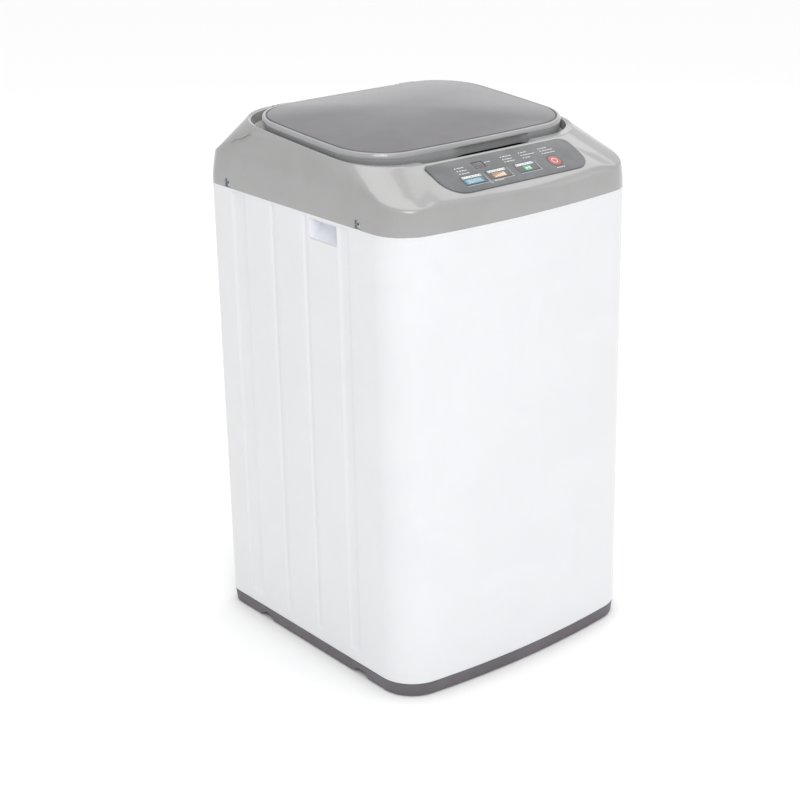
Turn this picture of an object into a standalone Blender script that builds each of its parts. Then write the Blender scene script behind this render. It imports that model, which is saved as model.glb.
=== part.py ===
"""Compact top-load washing machine: cabinet, hinged lid, suspended tub, basket, drive and drain.

Frame: origin on the floor under the middle, +Z up, the front faces -Y, metres.
"""
import math

import bmesh
import bpy
from mathutils import Matrix, Vector

NAME = "top_load_washer"

# ---- driving sizes ----
WIDTH = 0.4445
DEPTH = 0.46355
HEIGHT = 0.79375
GAP = 0.0003                    # clearance between touching pieces
HALF = WIDTH / 2
FRONT = -DEPTH / 2
REAR = DEPTH / 2
FRONT_BOW = 0.0187              # how far the front corners stand back from its middle
FRONT_RADIUS = 0.057
REAR_RADIUS = 0.030

# ---- base and cabinet ----
BASE_TOP = 0.021
BASE_FOOT = 0.0015              # underside of the base rim
CABINET_TOP = 0.681
SHEET = 0.0012                  # cabinet steel
CABINET_STEPS = (4, 6, 2, 4, 2)
FLANGE_X = 0.172                # where the wrap ends, behind the rear cover
FLUTE_DEPTH = 0.0022
FLUTE_FOOT = 0.046              # lower end of the flutes pressed into the side walls
FLUTES = ((0.166, 0.129, 0.006), (0.069, 0.058, 0.004), (-0.008, -0.019, 0.004),
          (-0.087, -0.114, 0.006))  # rear edge, front edge and ramp of each flute
GRIP_Y = (-0.087, -0.025)       # hand grip opening in each side
GRIP_Z = (0.647, 0.676)
GRIP_DEPTH = 0.024
PANEL_FRONT = REAR - 0.0050     # inner face of the rear cover
PANEL_BACK = REAR - 0.0022
HANGER_Z = 0.628                # plates in the corners that carry the tub
ROD_X = 0.172
ROD_Y = 0.178

# ---- top frame and lid ----
TOP_FOOT = CABINET_TOP + GAP
TOP_WALL = 0.0025
CREST_TILT = 0.0774             # slope of the rim around the lid, rising to the rear
CREST_Z = 0.7673                # height of that rim at y = 0
LID_TILT = 0.070
LID_Z = 0.77867                 # lid edge plane at y = 0
LID_WALL = 0.021
LID_MIDDLE_Y = 0.019
LID_HALF = 0.194                # lid window opening: half width, front and rear
LID_FRONT = -0.126
LID_REAR = 0.164
SLOPE_FOOT = (FRONT, 0.716)     # control slope: lower edge (y, z)
SLOPE_RISE = 0.4982             # its gradient
PANEL_Y = -0.186                # middle of the control overlay
HINGE_Y = 0.1770
HINGE_Z = 0.7835
HINGE_X = 0.115

# ---- tub, basket and drive ----
TUB_R = 0.1895
TUB_FOOT = 0.168
TUB_TOP = 0.606
BASKET_R = 0.172
BASKET_FOOT = 0.193
BASKET_TOP = 0.596
SHAFT_R = 0.007
SLEEVE_R = 0.0125
PULLEY_Z = 0.046                # lower face of the belt
PULLEY_R = 0.074                # belt seat on the large pulley
MOTOR_PULLEY_R = 0.0185
MOTOR_Y = 0.118
BELT_T = 0.006
BELT_H = 0.009
DRAIN_Y = -0.108
DRAIN_Z = 0.128
LUG_Z = 0.262
SPRING_FOOT = 0.212

PARTS = None
CUTTERS = None


# ---- scene helpers ----
def clear_scene():
    for ob in list(bpy.data.objects):
        bpy.data.objects.remove(ob, do_unlink=True)


def collection(name):
    made = bpy.data.collections.new(name)
    bpy.context.scene.collection.children.link(made)
    return made


def material(name, colour, roughness, metallic=0.0):
    made = bpy.data.materials.get(name)
    if made is None:
        made = bpy.data.materials.new(name)
        made.use_nodes = True
        shader = made.node_tree.nodes["Principled BSDF"]
        shader.inputs["Base Color"].default_value = (*colour, 1.0)
        shader.inputs["Roughness"].default_value = roughness
        shader.inputs["Metallic"].default_value = metallic
    return made


STEEL = ("zinc_steel", (0.56, 0.57, 0.58), 0.35, 0.9)
DARK_STEEL = ("bearing_steel", (0.35, 0.36, 0.38), 0.28, 1.0)
CAST = ("cast_aluminium", (0.50, 0.51, 0.53), 0.5, 0.85)
RUBBER = ("black_rubber", (0.02, 0.02, 0.022), 0.8)
WHITE_ENAMEL = ("white_enamel", (0.80, 0.81, 0.83), 0.3)
GREY_GLOSS = ("grey_gloss", (0.42, 0.42, 0.41), 0.2)
NATURAL = ("natural_plastic", (0.72, 0.73, 0.72), 0.45)
BASE_GREY = ("base_grey", (0.16, 0.15, 0.155), 0.5)
BLACK = ("black_plastic", (0.03, 0.03, 0.032), 0.45)
STAINLESS = ("stainless", (0.62, 0.63, 0.65), 0.25, 1.0)


def place(name, mesh, finish, home=None):
    """Link a mesh as a named object with its own material."""
    ob = bpy.data.objects.new(name, mesh)
    ob.data.materials.clear()
    ob.data.materials.append(material(name + "_" + finish[0], *finish[1:]))
    (home or PARTS).objects.link(ob)
    return ob


def as_mesh(bm, name):
    bmesh.ops.recalc_face_normals(bm, faces=bm.faces)
    mesh = bpy.data.meshes.new(name)
    bm.to_mesh(mesh)
    bm.free()
    return mesh


def smooth(ob, degrees=35):
    ob.data.shade_smooth()
    ob.data.set_sharp_from_angle(angle=math.radians(degrees))
    return ob


def apply_all(ob):
    """Bake the modifiers so the object can be cut or moved as a plain mesh."""
    graph = bpy.context.evaluated_depsgraph_get()
    mesh = bpy.data.meshes.new_from_object(ob.evaluated_get(graph))
    ob.modifiers.clear()
    ob.data = mesh
    return ob


def hide_cutter(ob):
    ob.hide_render = True
    ob.display_type = "WIRE"
    return ob


def combine(ob, tool, operation):
    made = ob.modifiers.new(tool.name, "BOOLEAN")
    made.operation = operation
    made.solver = "EXACT"
    made.object = hide_cutter(tool)
    return ob


def cut(ob, tool):
    return combine(ob, tool, "DIFFERENCE")


def fuse(ob, tool):
    return combine(ob, tool, "UNION")


def thicken(ob, thickness, offset=-1.0):
    made = ob.modifiers.new("wall", "SOLIDIFY")
    made.thickness = thickness
    made.offset = offset
    made.use_even_offset = True
    return ob


# ---- shape helpers ----
def box(name, low, high, finish, home=None):
    bm = bmesh.new()
    bmesh.ops.create_cube(bm, size=1.0)
    size = [h - l for l, h in zip(low, high)]
    middle = [(h + l) / 2 for l, h in zip(low, high)]
    bmesh.ops.scale(bm, vec=size, verts=bm.verts)
    bmesh.ops.translate(bm, vec=middle, verts=bm.verts)
    return place(name, as_mesh(bm, name), finish, home)


def rod(name, start, end, radius, finish, home=None, steps=20):
    """Straight cylinder between two points."""
    start, end = Vector(start), Vector(end)
    run = end - start
    turn = run.to_track_quat("Z", "Y").to_matrix().to_4x4()
    bm = bmesh.new()
    bmesh.ops.create_cone(bm, cap_ends=True, segments=steps, radius1=radius, radius2=radius,
                          depth=run.length, matrix=Matrix.Translation((start + end) / 2) @ turn)
    return place(name, as_mesh(bm, name), finish, home)


def turned(name, profile, finish, steps=40, home=None):
    """Turned solid: (radius, height) points down the outer side and back up the inner side."""
    mesh = bpy.data.meshes.new(name)
    count = len(profile)
    open_ends = profile[0][0] < 1e-6 and profile[-1][0] < 1e-6
    edges = [(i, i + 1) for i in range(count - 1)]
    if not open_ends:
        edges.append((count - 1, 0))
    mesh.from_pydata([(r, 0.0, z) for r, z in profile], edges, [])
    ob = place(name, mesh, finish, home)
    screw = ob.modifiers.new("turn", "SCREW")
    screw.steps = steps
    screw.render_steps = steps
    screw.use_merge_vertices = True
    screw.merge_threshold = 1e-6
    screw.use_smooth_shade = True
    return ob


def tube(name, points, radius, finish, resolution=2, spline="POLY", home=None):
    """Round bar or hose along a route, with closed ends."""
    data = bpy.data.curves.new(name, "CURVE")
    data.dimensions = "3D"
    line = data.splines.new(spline)
    line.points.add(len(points) - 1)
    for spot, where in zip(line.points, points):
        spot.co = (*where, 1.0)
    data.bevel_depth = radius
    data.bevel_resolution = resolution
    data.use_fill_caps = True
    ob = bpy.data.objects.new(name, data)
    ob.data.materials.append(material(name + "_" + finish[0], *finish[1:]))
    (home or PARTS).objects.link(ob)
    return ob


def meshed(ob, home=None):
    """Turn a curve object into a closed mesh object, so that it can be cut or joined."""
    graph = bpy.context.evaluated_depsgraph_get()
    graph.update()
    mesh = bpy.data.meshes.new_from_object(ob.evaluated_get(graph))
    bm = bmesh.new()
    bm.from_mesh(mesh)
    bmesh.ops.remove_doubles(bm, verts=bm.verts, dist=1e-6)
    bm.to_mesh(mesh)
    bm.free()
    name = ob.name
    place_at = ob.matrix_world.copy()
    ob.name = name + "_curve"
    made = bpy.data.objects.new(name, mesh)
    made.matrix_world = place_at
    (home or PARTS).objects.link(made)
    bpy.data.objects.remove(ob, do_unlink=True)
    return made


def plate(name, outlines, low, high, finish, home=None):
    """Flat plate: closed (x, y) outlines, the first one outside and the rest holes."""
    data = bpy.data.curves.new(name, "CURVE")
    data.dimensions = "2D"
    data.fill_mode = "BOTH"
    data.extrude = (high - low) / 2
    for outline in outlines:
        line = data.splines.new("POLY")
        line.points.add(len(outline) - 1)
        line.use_cyclic_u = True
        for spot, (x, y) in zip(line.points, outline):
            spot.co = (x, y, 0.0, 1.0)
    ob = bpy.data.objects.new(name, data)
    ob.data.materials.append(material(name + "_" + finish[0], *finish[1:]))
    ob.location.z = (low + high) / 2
    (home or PARTS).objects.link(ob)
    bpy.context.view_layer.update()
    return meshed(ob, home)


def circle(x, y, radius, count=24):
    return [(x + radius * math.cos(2 * math.pi * i / count), y + radius * math.sin(2 * math.pi * i / count))
            for i in range(count)]


def rounded(low, high, radius, steps=4):
    """Rounded rectangle outline, counter-clockwise."""
    x0, y0 = low[0] + radius, low[1] + radius
    x1, y1 = high[0] - radius, high[1] - radius
    points = []
    for quarter, (cx, cy) in enumerate(((x1, y1), (x0, y1), (x0, y0), (x1, y0))):
        for i in range(steps + 1):
            turn = math.pi / 2 * (quarter + i / steps)
            points.append((cx + radius * math.cos(turn), cy + radius * math.sin(turn)))
    return points


def loft(name, loops, finish, closed=False, caps=True, home=None):
    """Skin a row of matching closed loops; closed joins the last one back to the first."""
    bm = bmesh.new()
    rings = [[bm.verts.new(p) for p in ring] for ring in loops]
    count = len(rings[0])
    pairs = list(zip(rings, rings[1:]))
    if closed:
        pairs.append((rings[-1], rings[0]))
    for low, high in pairs:
        for i in range(count):
            j = (i + 1) % count
            bm.faces.new((low[i], low[j], high[j], high[i]))
    if caps and not closed:
        bm.faces.new(rings[0][::-1])
        bm.faces.new(rings[-1])
    return place(name, as_mesh(bm, name), finish, home)


# ---- plan outlines ----
def bowed_outline(half, front, rear, bows, radii, steps=(5, 5, 7, 4, 3), side_bow=0.0):
    """Closed plan loop with bowed front and rear and round corners, from the front middle round by +X."""
    def end(edge, bow, radius, sign):
        big = (half * half + bow * bow) / (2 * bow)
        centre = edge + sign * big
        drop = math.sqrt((big - radius) ** 2 - (half - radius) ** 2)
        corner = (half - radius, centre - sign * drop)
        lean = math.asin((half - radius) / (big - radius))
        return big, centre, corner, lean

    big, centre, corner, lean = end(front, bows[0], radii[0], 1)
    points = [(big * math.sin(lean * i / steps[0]), centre - big * math.cos(lean * i / steps[0]))
              for i in range(steps[0])]
    for i in range(steps[1]):
        turn = lean + (math.pi / 2 - lean) * i / steps[1]
        points.append((corner[0] + radii[0] * math.sin(turn), corner[1] - radii[0] * math.cos(turn)))
    big, centre, back, lean = end(rear, bows[1], radii[1], -1)
    for i in range(steps[2]):
        points.append((half, corner[1] + (back[1] - corner[1]) * i / steps[2]))
    for i in range(steps[3]):
        turn = (math.pi / 2 - lean) * i / steps[3]
        points.append((back[0] + radii[1] * math.cos(turn), back[1] + radii[1] * math.sin(turn)))
    for i in range(steps[4] + 1):
        turn = lean * (1 - i / steps[4])
        points.append((big * math.sin(turn), centre + big * math.cos(turn)))
    if side_bow:
        middle, reach = (front + rear) / 2, (rear - front) / 2
        points = [(x * (1 - side_bow / half * ((y - middle) / reach) ** 2), y) for x, y in points]
    return points + [(-x, y) for x, y in points[-2:0:-1]]


def cabinet_outline(inset=0.0, **changes):
    return bowed_outline(HALF - inset, FRONT + inset, REAR - inset, (FRONT_BOW, 0.0006),
                         (FRONT_RADIUS - inset, REAR_RADIUS - inset), **changes)


def lift(outline, height):
    """Give a plan outline its height, which may depend on y."""
    rise = height if callable(height) else (lambda y: height)
    return [(x, y, rise(y)) for x, y in outline]


def crest(y, drop=0.0):
    return CREST_Z + CREST_TILT * y - drop


def lid_plane(y, drop=0.0):
    return LID_Z + LID_TILT * y - drop


# ---- base, feet and cabinet ----
def make_base():
    outer = [lift(cabinet_outline(0.0052), BASE_FOOT), lift(cabinet_outline(0.0040), BASE_FOOT + 0.0015),
             lift(cabinet_outline(0.0022), BASE_TOP - 0.003), lift(cabinet_outline(0.0022), BASE_TOP)]
    rim = outer + [lift(cabinet_outline(0.0080), BASE_TOP), lift(cabinet_outline(0.0080), BASE_TOP + 0.014),
                   lift(cabinet_outline(0.0105), BASE_TOP + 0.014), lift(cabinet_outline(0.0125), BASE_FOOT)]
    base = loft("base_frame", rim, BASE_GREY, closed=True)
    inner = cabinet_outline(0.0100)
    edge = 0.128
    holes = [[(edge, edge), (-edge, edge), (-edge, -edge), (edge, -edge)]]
    holes += [circle(sx * 0.178, y, 0.0065, 16) for sx in (-1, 1) for y in (-0.160, 0.185)]
    floor = plate("base_floor", [inner] + holes, 0.0105, 0.0145, BASE_GREY, CUTTERS)
    fuse(base, floor)
    for side in (-1, 1):
        for i, (near, far) in enumerate(((0.144, 0.114), (-0.089, -0.122))):
            wedge = [(side * 0.190, near, 0), (side * 0.190, near - 0.006, 0.0095),
                     (side * 0.190, far, 0.0095), (side * 0.190, far, 0)]
            ends = [wedge, [(side * 0.230, y, z) for x, y, z in wedge]]
            notch = loft("notch_%d_%d" % (side, i), ends, BASE_GREY, home=CUTTERS)
            cut(base, notch)
    return base


def make_feet():
    for name, x, y in (("foot_rear_left", -0.178, 0.185), ("foot_rear_right", 0.178, 0.185),
                       ("foot_front_right", 0.178, -0.160)):
        foot = turned(name, [(0, 0.0190), (0.0080, 0.0170), (0.0058, 0.0145 + GAP), (0.0058, 0.0102),
                             (0.0170, 0.0102), (0.0185, 0.0010), (0.0175, 0.0), (0, 0.0)], RUBBER, 20)
        foot.location = (x, y, 0)
    stud = turned("levelling_foot", [(0, 0.0340), (0.0050, 0.0340), (0.0050, 0.0100), (0.0185, 0.0085),
                                     (0.0185, 0.0012), (0.0175, 0.0), (0, 0.0)], RUBBER, 20)
    stud.location = (-0.178, -0.160, 0)


def flute_depth(y):
    """Depth of the flutes pressed into the side wall, at a distance y from front to rear."""
    for near, far, ramp in FLUTES:
        if far < y < near:
            return FLUTE_DEPTH * min(1.0, (near - y) / ramp, (y - far) / ramp)
    return 0.0


def wall_columns():
    """Plan points of the cabinet wrap from the rear left flange round the front to the rear right flange."""
    loop = cabinet_outline(steps=CABINET_STEPS)
    half = [p for p in loop[:len(loop) // 2 + 1] if p[1] < 0 or p[0] > HALF - REAR_RADIUS - 0.001]
    marks = [y for near, far, ramp in FLUTES for y in (near, near - ramp, far + ramp, far)]
    front = [p for p in half if p[1] < -0.13]
    side = [(HALF, y) for y in sorted(marks)]
    back = [p for p in half if p[1] > 0.17]
    right = front + side + back + [(FLANGE_X, REAR)]
    return [(-x, y) for x, y in right[:0:-1]] + right


def hanger_outline(end):
    """Corner plate at the front (-1) or rear (1), let into half the thickness of the wall."""
    wall = [p for p in cabinet_outline(SHEET / 2, steps=CABINET_STEPS) if p[0] > 0.146]
    if end < 0:
        corner = [p for p in wall if p[1] < -0.140]
        return corner + [(0.146, corner[-1][1])]
    corner = [p for p in wall if 0.190 < p[1] < PANEL_FRONT]
    return [(HALF - SHEET / 2, 0.169)] + corner + [(0.190, PANEL_FRONT), (0.150, PANEL_FRONT), (0.150, 0.150)]


def make_cabinet():
    rows = (BASE_TOP + GAP, FLUTE_FOOT - 0.006, FLUTE_FOOT, CABINET_TOP)
    bm = bmesh.new()
    grid = []
    for z in rows:
        fade = 1.0 if z >= FLUTE_FOOT else 0.0
        line = []
        for x, y in wall_columns():
            push = fade * flute_depth(y) if abs(x) > HALF - 1e-6 else 0.0
            line.append(bm.verts.new((x - math.copysign(push, x), y, z)))
        grid.append(line)
    for low, high in zip(grid, grid[1:]):
        for i in range(len(low) - 1):
            bm.faces.new((low[i], low[i + 1], high[i + 1], high[i]))
    shell = thicken(place("cabinet_shell", as_mesh(bm, "cabinet_shell"), WHITE_ENAMEL), SHEET)
    for sx in (-1, 1):
        window = box("grip_window_%d" % sx, (sx * 0.21 - 0.02, GRIP_Y[0], GRIP_Z[0]),
                     (sx * 0.21 + 0.02, GRIP_Y[1], GRIP_Z[1]), WHITE_ENAMEL, CUTTERS)
        cut(shell, window)
        for sy in (-1, 1):
            hanger = [(sx * x, y) for x, y in hanger_outline(sy)]
            hole = circle(sx * ROD_X, sy * ROD_Y, 0.0060, 14)
            fuse(shell, plate("hanger_%d_%d" % (sx, sy), [hanger, hole], HANGER_Z, HANGER_Z + 0.003,
                              WHITE_ENAMEL, CUTTERS))
    return smooth(shell, 30)


def make_rear_panel():
    """Ribbed rear cover with pockets for the water inlet and the drain outlet."""
    low, high = PANEL_FRONT + GAP, PANEL_BACK
    foot, top = BASE_TOP + 0.016, CABINET_TOP - 0.004
    panel = box("rear_panel", (-0.188, low, foot), (0.188, high, top), WHITE_ENAMEL)
    pockets = (("inlet", 0.078, 0.132, 0.632, 0.672), ("drain", -0.150, -0.104, 0.062, 0.108))
    for tag, x0, x1, z0, z1 in pockets:
        shell = box(tag + "_pocket", (x0 - 0.002, REAR - 0.032, z0 - 0.002),
                    (x1 + 0.002, high - 0.0005, z1 + 0.002), WHITE_ENAMEL, CUTTERS)
        room = box(tag + "_pocket_room", (x0, REAR - 0.030, z0), (x1, REAR + 0.02, z1),
                   WHITE_ENAMEL, CUTTERS)
        fuse(panel, shell)
        cut(panel, room)
    openings = (("inlet_hole", 0.105, 0.18, 0.652, 0.0138), ("drain_hole", -0.127, 0.18, 0.085, 0.0128),
                ("cord_hole", 0.150, 0.21, 0.090, 0.0068))
    for tag, x, y, z, radius in openings:
        cut(panel, rod(tag, (x, y, z), (x, y + 0.04, z), radius, WHITE_ENAMEL, CUTTERS))
    return panel


def make_grips():
    """Hand grips: open boxes set into the side walls under the top frame."""
    for name, sx in (("grip_left", -1), ("grip_right", 1)):
        y0, y1 = GRIP_Y[0] + GAP, GRIP_Y[1] - GAP
        z0, z1 = GRIP_Z[0] + GAP, GRIP_Z[1] - GAP
        low = (min(sx * (HALF - GRIP_DEPTH), sx * (HALF - 0.0004)), y0, z0)
        high = (max(sx * (HALF - GRIP_DEPTH), sx * (HALF - 0.0004)), y1, z1)
        grip = box(name, low, high, NATURAL)
        wedge = [(HALF + 0.01, y0 + 0.002, z0 + 0.002), (HALF + 0.01, y1 - 0.002, z0 + 0.002),
                 (HALF + 0.01, y1 - 0.002, z1 - 0.002), (HALF + 0.01, y0 + 0.002, z1 - 0.002)]
        deep = [(HALF - GRIP_DEPTH + 0.002, y, z if z > 0.66 else z + 0.006) for x, y, z in wedge]
        room = loft(name + "_room", [[(sx * x, y, z) for x, y, z in ring] for ring in (wedge, deep)],
                    NATURAL, home=CUTTERS)
        cut(grip, room)


# ---- top frame ----
LIP = ((-0.232, 0.7140), (-0.197, 0.7180), (-0.155, 0.7280), (-0.102, 0.7400), (-0.062, 0.7545),
       (-0.030, 0.7615), (0.110, 0.7725), (0.150, 0.7610), (0.185, 0.7370), (0.232, 0.7220))


def lip_height(y):
    """Upper edge of the frame's side wall, from (y, z) marks joined by smooth steps."""
    for (y0, z0), (y1, z1) in zip(LIP, LIP[1:]):
        if y <= y1:
            return z0 + (z1 - z0) * max(0.0, (y - y0) / (y1 - y0))
    return LIP[-1][1]


def side_wall(x, y, z):
    """Lean the frame's wall inwards as it rises."""
    lean = max(0.0, z - 0.690) / 0.080
    return (x * (1 - 0.0705 * lean ** 1.3), y * (1 - 0.012 * min(1.0, lean)), z)


def finger_dip(x):
    """Depth of the finger recess in front of the lid, at a distance x across."""
    low, high, ramp = -0.110, 0.083, 0.012
    inside = min((x - low) / ramp, (high - x) / ramp)
    return 0.0085 * max(0.0, min(1.0, inside))


def make_top_frame():
    outline = cabinet_outline()
    steps = [lift(outline, TOP_FOOT), lift(outline, 0.6900)]
    lip = [side_wall(x, y, lip_height(y)) for x, y in outline]
    middle = [side_wall(x, y, (lip_height(y) + 0.690) / 2) for x, y in outline]
    steps += [middle, lip]
    rim = bowed_outline(0.2068, -0.1515, 0.1980, (0.004, 0.004), (0.080, 0.080), side_bow=0.0038)
    steps.append(lift(rim, lambda y: crest(y, 0.0012)))
    rim = bowed_outline(0.2056, -0.1503, 0.1968, (0.004, 0.004), (0.079, 0.079), side_bow=0.0038)
    steps.append(lift(rim, crest))
    nest = bowed_outline(0.2030, -0.1370, 0.1900, (0.004, 0.004), (0.076, 0.076), side_bow=0.0038)
    steps.append([(x, y, crest(y, 0.0008) - (finger_dip(x) if y < -0.12 else 0.0)) for x, y in nest])
    nest = bowed_outline(0.2022, -0.1360, 0.1892, (0.004, 0.004), (0.075, 0.075), side_bow=0.0038)
    steps.append(lift(nest, lambda y: crest(y, 0.0150)))
    floor = bowed_outline(0.1600, -0.1140, 0.1480, (0.006, 0.006), (0.100, 0.100))
    steps.append(lift(floor, lambda y: crest(y, 0.0165)))
    mouth = bowed_outline(0.1400, -0.1220, 0.1420, (0.012, 0.012), (0.122, 0.122))
    steps.append(lift(mouth, 0.7080))
    mouth = bowed_outline(0.1380, -0.1200, 0.1400, (0.012, 0.012), (0.120, 0.120))
    steps.append(lift(mouth, 0.6720))
    frame = loft("top_frame", steps, GREY_GLOSS, caps=False)
    thicken(frame, TOP_WALL)
    window = panel_box("key_window", (-0.100, -0.026), (0.096, 0.0225), (-0.020, 0.010), GREY_GLOSS, CUTTERS)
    cut(frame, window)
    for sx in (-1, 1):
        for tag, x0, x1 in (("outer", 0.0115, 0.0175), ("inner", -0.0175, -0.0115)):
            low, high = sorted((sx * (HINGE_X + x0), sx * (HINGE_X + x1)))
            ear = box("ear_%d_%s" % (sx, tag), (low, HINGE_Y - 0.005, 0.7640),
                      (high, HINGE_Y + 0.005, HINGE_Z + 0.0050), GREY_GLOSS, CUTTERS)
            fuse(frame, ear)
            cut(frame, rod("ear_hole_%d_%s" % (sx, tag), (low - 0.003, HINGE_Y, HINGE_Z),
                           (high + 0.003, HINGE_Y, HINGE_Z), 0.0028, GREY_GLOSS, CUTTERS, 16))
    return smooth(frame, 28)


# ---- control panel, laid out on the slope ----
def panel_point(u, v, n):
    """Slope coordinates to world: u across, v up the slope, n out of it."""
    lean = math.atan(SLOPE_RISE)
    foot = SLOPE_FOOT[1] + (PANEL_Y - SLOPE_FOOT[0]) * SLOPE_RISE
    forward = v * math.cos(lean) - n * math.sin(lean)
    return (u, PANEL_Y + forward, foot + v * math.sin(lean) + n * math.cos(lean))


def on_panel(ob):
    """Move a mesh drawn flat around the origin onto the slope."""
    for spot in ob.data.vertices:
        spot.co = panel_point(*spot.co)
    return ob


def panel_box(name, low, high, heights, finish, home=None):
    return on_panel(box(name, (low[0], low[1], heights[0]), (high[0], high[1], heights[1]), finish, home))


def flat_piece(name, outlines, low, high, finish, home=None):
    made = plate(name, outlines, low, high, finish, home)
    middle = made.location.z
    made.location.z = 0
    for spot in made.data.vertices:
        spot.co.z += middle
    return on_panel(made)


def overlay_outline():
    """Dark overlay: small radii at its upper corners, large ones below."""
    corners = ((0.132, 0.0335, 0.016), (-0.127, 0.0335, 0.005), (-0.127, -0.0325, 0.034),
               (0.132, -0.0325, 0.026))
    middle = (0.0025, 0.0005)
    points = []
    for quarter, (x, y, radius) in enumerate(corners):
        cx = x + math.copysign(radius, middle[0] - x)
        cy = y + math.copysign(radius, middle[1] - y)
        for i in range(6):
            turn = math.pi / 2 * (quarter + i / 5)
            points.append((cx + radius * math.cos(turn), cy + radius * math.sin(turn)))
    return points


KEYS = (("program_key", -0.0720, -0.0105, 0.020, 0.0095), ("level_key", -0.0265, -0.0090, 0.019, 0.0095),
        ("start_key", 0.0255, -0.0085, 0.019, 0.0095), ("power_key", 0.0785, -0.0085, 0.0115, 0.0115))


def key_outline(u, v, half_u, half_v, slack):
    """Outline of a key, or of its hole: round where both halves are the same."""
    if half_u == half_v:
        return circle(u, v, half_u - slack, 20)
    return rounded((u - half_u + slack, v - half_v + slack), (u + half_u - slack, v + half_v - slack),
                   0.003 - slack, 4)


def make_controls():
    holes = []
    for name, *sizes in KEYS:
        holes.append(key_outline(*sizes, 0.0))
        flat_piece(name, [key_outline(*sizes, GAP * 1.5)], -0.0035, 0.0020, BLACK)
    screen = rounded((-0.0545, 0.0075), (-0.0345, 0.0215), 0.0010, 1)
    flat_piece("control_overlay", [overlay_outline(), screen] + holes, GAP, 0.0013, BASE_GREY)
    pane = rounded((-0.0541, 0.0079), (-0.0349, 0.0211), 0.0010, 1)
    flat_piece("display_window", [pane], -0.0030, 0.0011, BLACK)
    board = panel_box("control_board", (-0.110, -0.024), (0.110, 0.020), (-0.0110, -0.0070), NATURAL)
    for i, (name, u, v, half_u, half_v) in enumerate(KEYS):
        switch = rod("switch_%d" % i, (u, v, -0.0080), (u, v, -0.0052), 0.003, NATURAL, CUTTERS, 12)
        fuse(board, on_panel(switch))
    return board


# ---- lid ----
def lid_loop(grow, drop):
    outline = bowed_outline(LID_HALF + grow, LID_FRONT - grow, LID_REAR + grow, (0.006, 0.006),
                            (0.070 + grow, 0.070 + grow), side_bow=0.0050)
    return lift(outline, lambda y: lid_plane(y, drop))


def make_lid():
    section = ((0.0038, LID_WALL), (0.0050, 0.0040), (0.0040, 0.0012), (0.0012, 0.0002), (0.0, 0.0008),
               (0.0, 0.0045), (-0.0120, 0.0045), (-0.0120, 0.0070), (0.0005, 0.0070), (0.0010, LID_WALL))
    frame = loft("lid_frame", [lid_loop(grow, drop) for grow, drop in section], GREY_GLOSS, closed=True)
    for sx in (-1, 1):
        tag = str(sx)

        def across(reach):
            return [(sx * HINGE_X + end * reach, HINGE_Y, HINGE_Z) for end in (-1, 1)]

        eye = rod("lid_eye_" + tag, *across(0.010), 0.0050, GREY_GLOSS, CUTTERS, 16)
        arm = box("lid_arm_" + tag, (sx * HINGE_X - 0.010, 0.1655, HINGE_Z - 0.0036),
                  (sx * HINGE_X + 0.010, HINGE_Y, HINGE_Z + 0.0030), GREY_GLOSS, CUTTERS)
        fuse(frame, arm)
        fuse(frame, eye)
        cut(frame, rod("lid_bore_" + tag, *across(0.012), 0.0029, GREY_GLOSS, CUTTERS, 16))
        rod("hinge_pin_" + ("left" if sx < 0 else "right"), *across(0.0174), 0.0024, STEEL, steps=16)
    smooth(frame, 30)
    levels = ((0.15, 0.0042), (1.0, 0.0042), (1.0, 0.0012), (0.985, 0.0), (0.80, 0.0), (0.44, 0.0), (0.15, 0.0))
    window = [window_loop(scale, drop) for scale, drop in levels]
    smooth(loft("lid_window", window, ("smoked", (0.20, 0.20, 0.21), 0.08)), 30)


def window_crown():
    """Crown that brings the window's highest point, behind its middle, to the machine's full height."""
    rise = LID_TILT * (LID_REAR - 2 * GAP - LID_MIDDLE_Y)
    room = HEIGHT - lid_plane(LID_MIDDLE_Y)
    return (room + math.sqrt(room ** 2 - rise ** 2)) / 2


def window_loop(scale, drop):
    """One ring of the crowned window, scaled towards the middle of the lid."""
    crown = window_crown() * (1 - scale ** 2)
    ring = []
    for x, y, z in lid_loop(-2 * GAP, 0.0):
        y = LID_MIDDLE_Y + (y - LID_MIDDLE_Y) * scale
        ring.append((x * scale, y, lid_plane(y, drop) + crown))
    return ring


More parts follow.
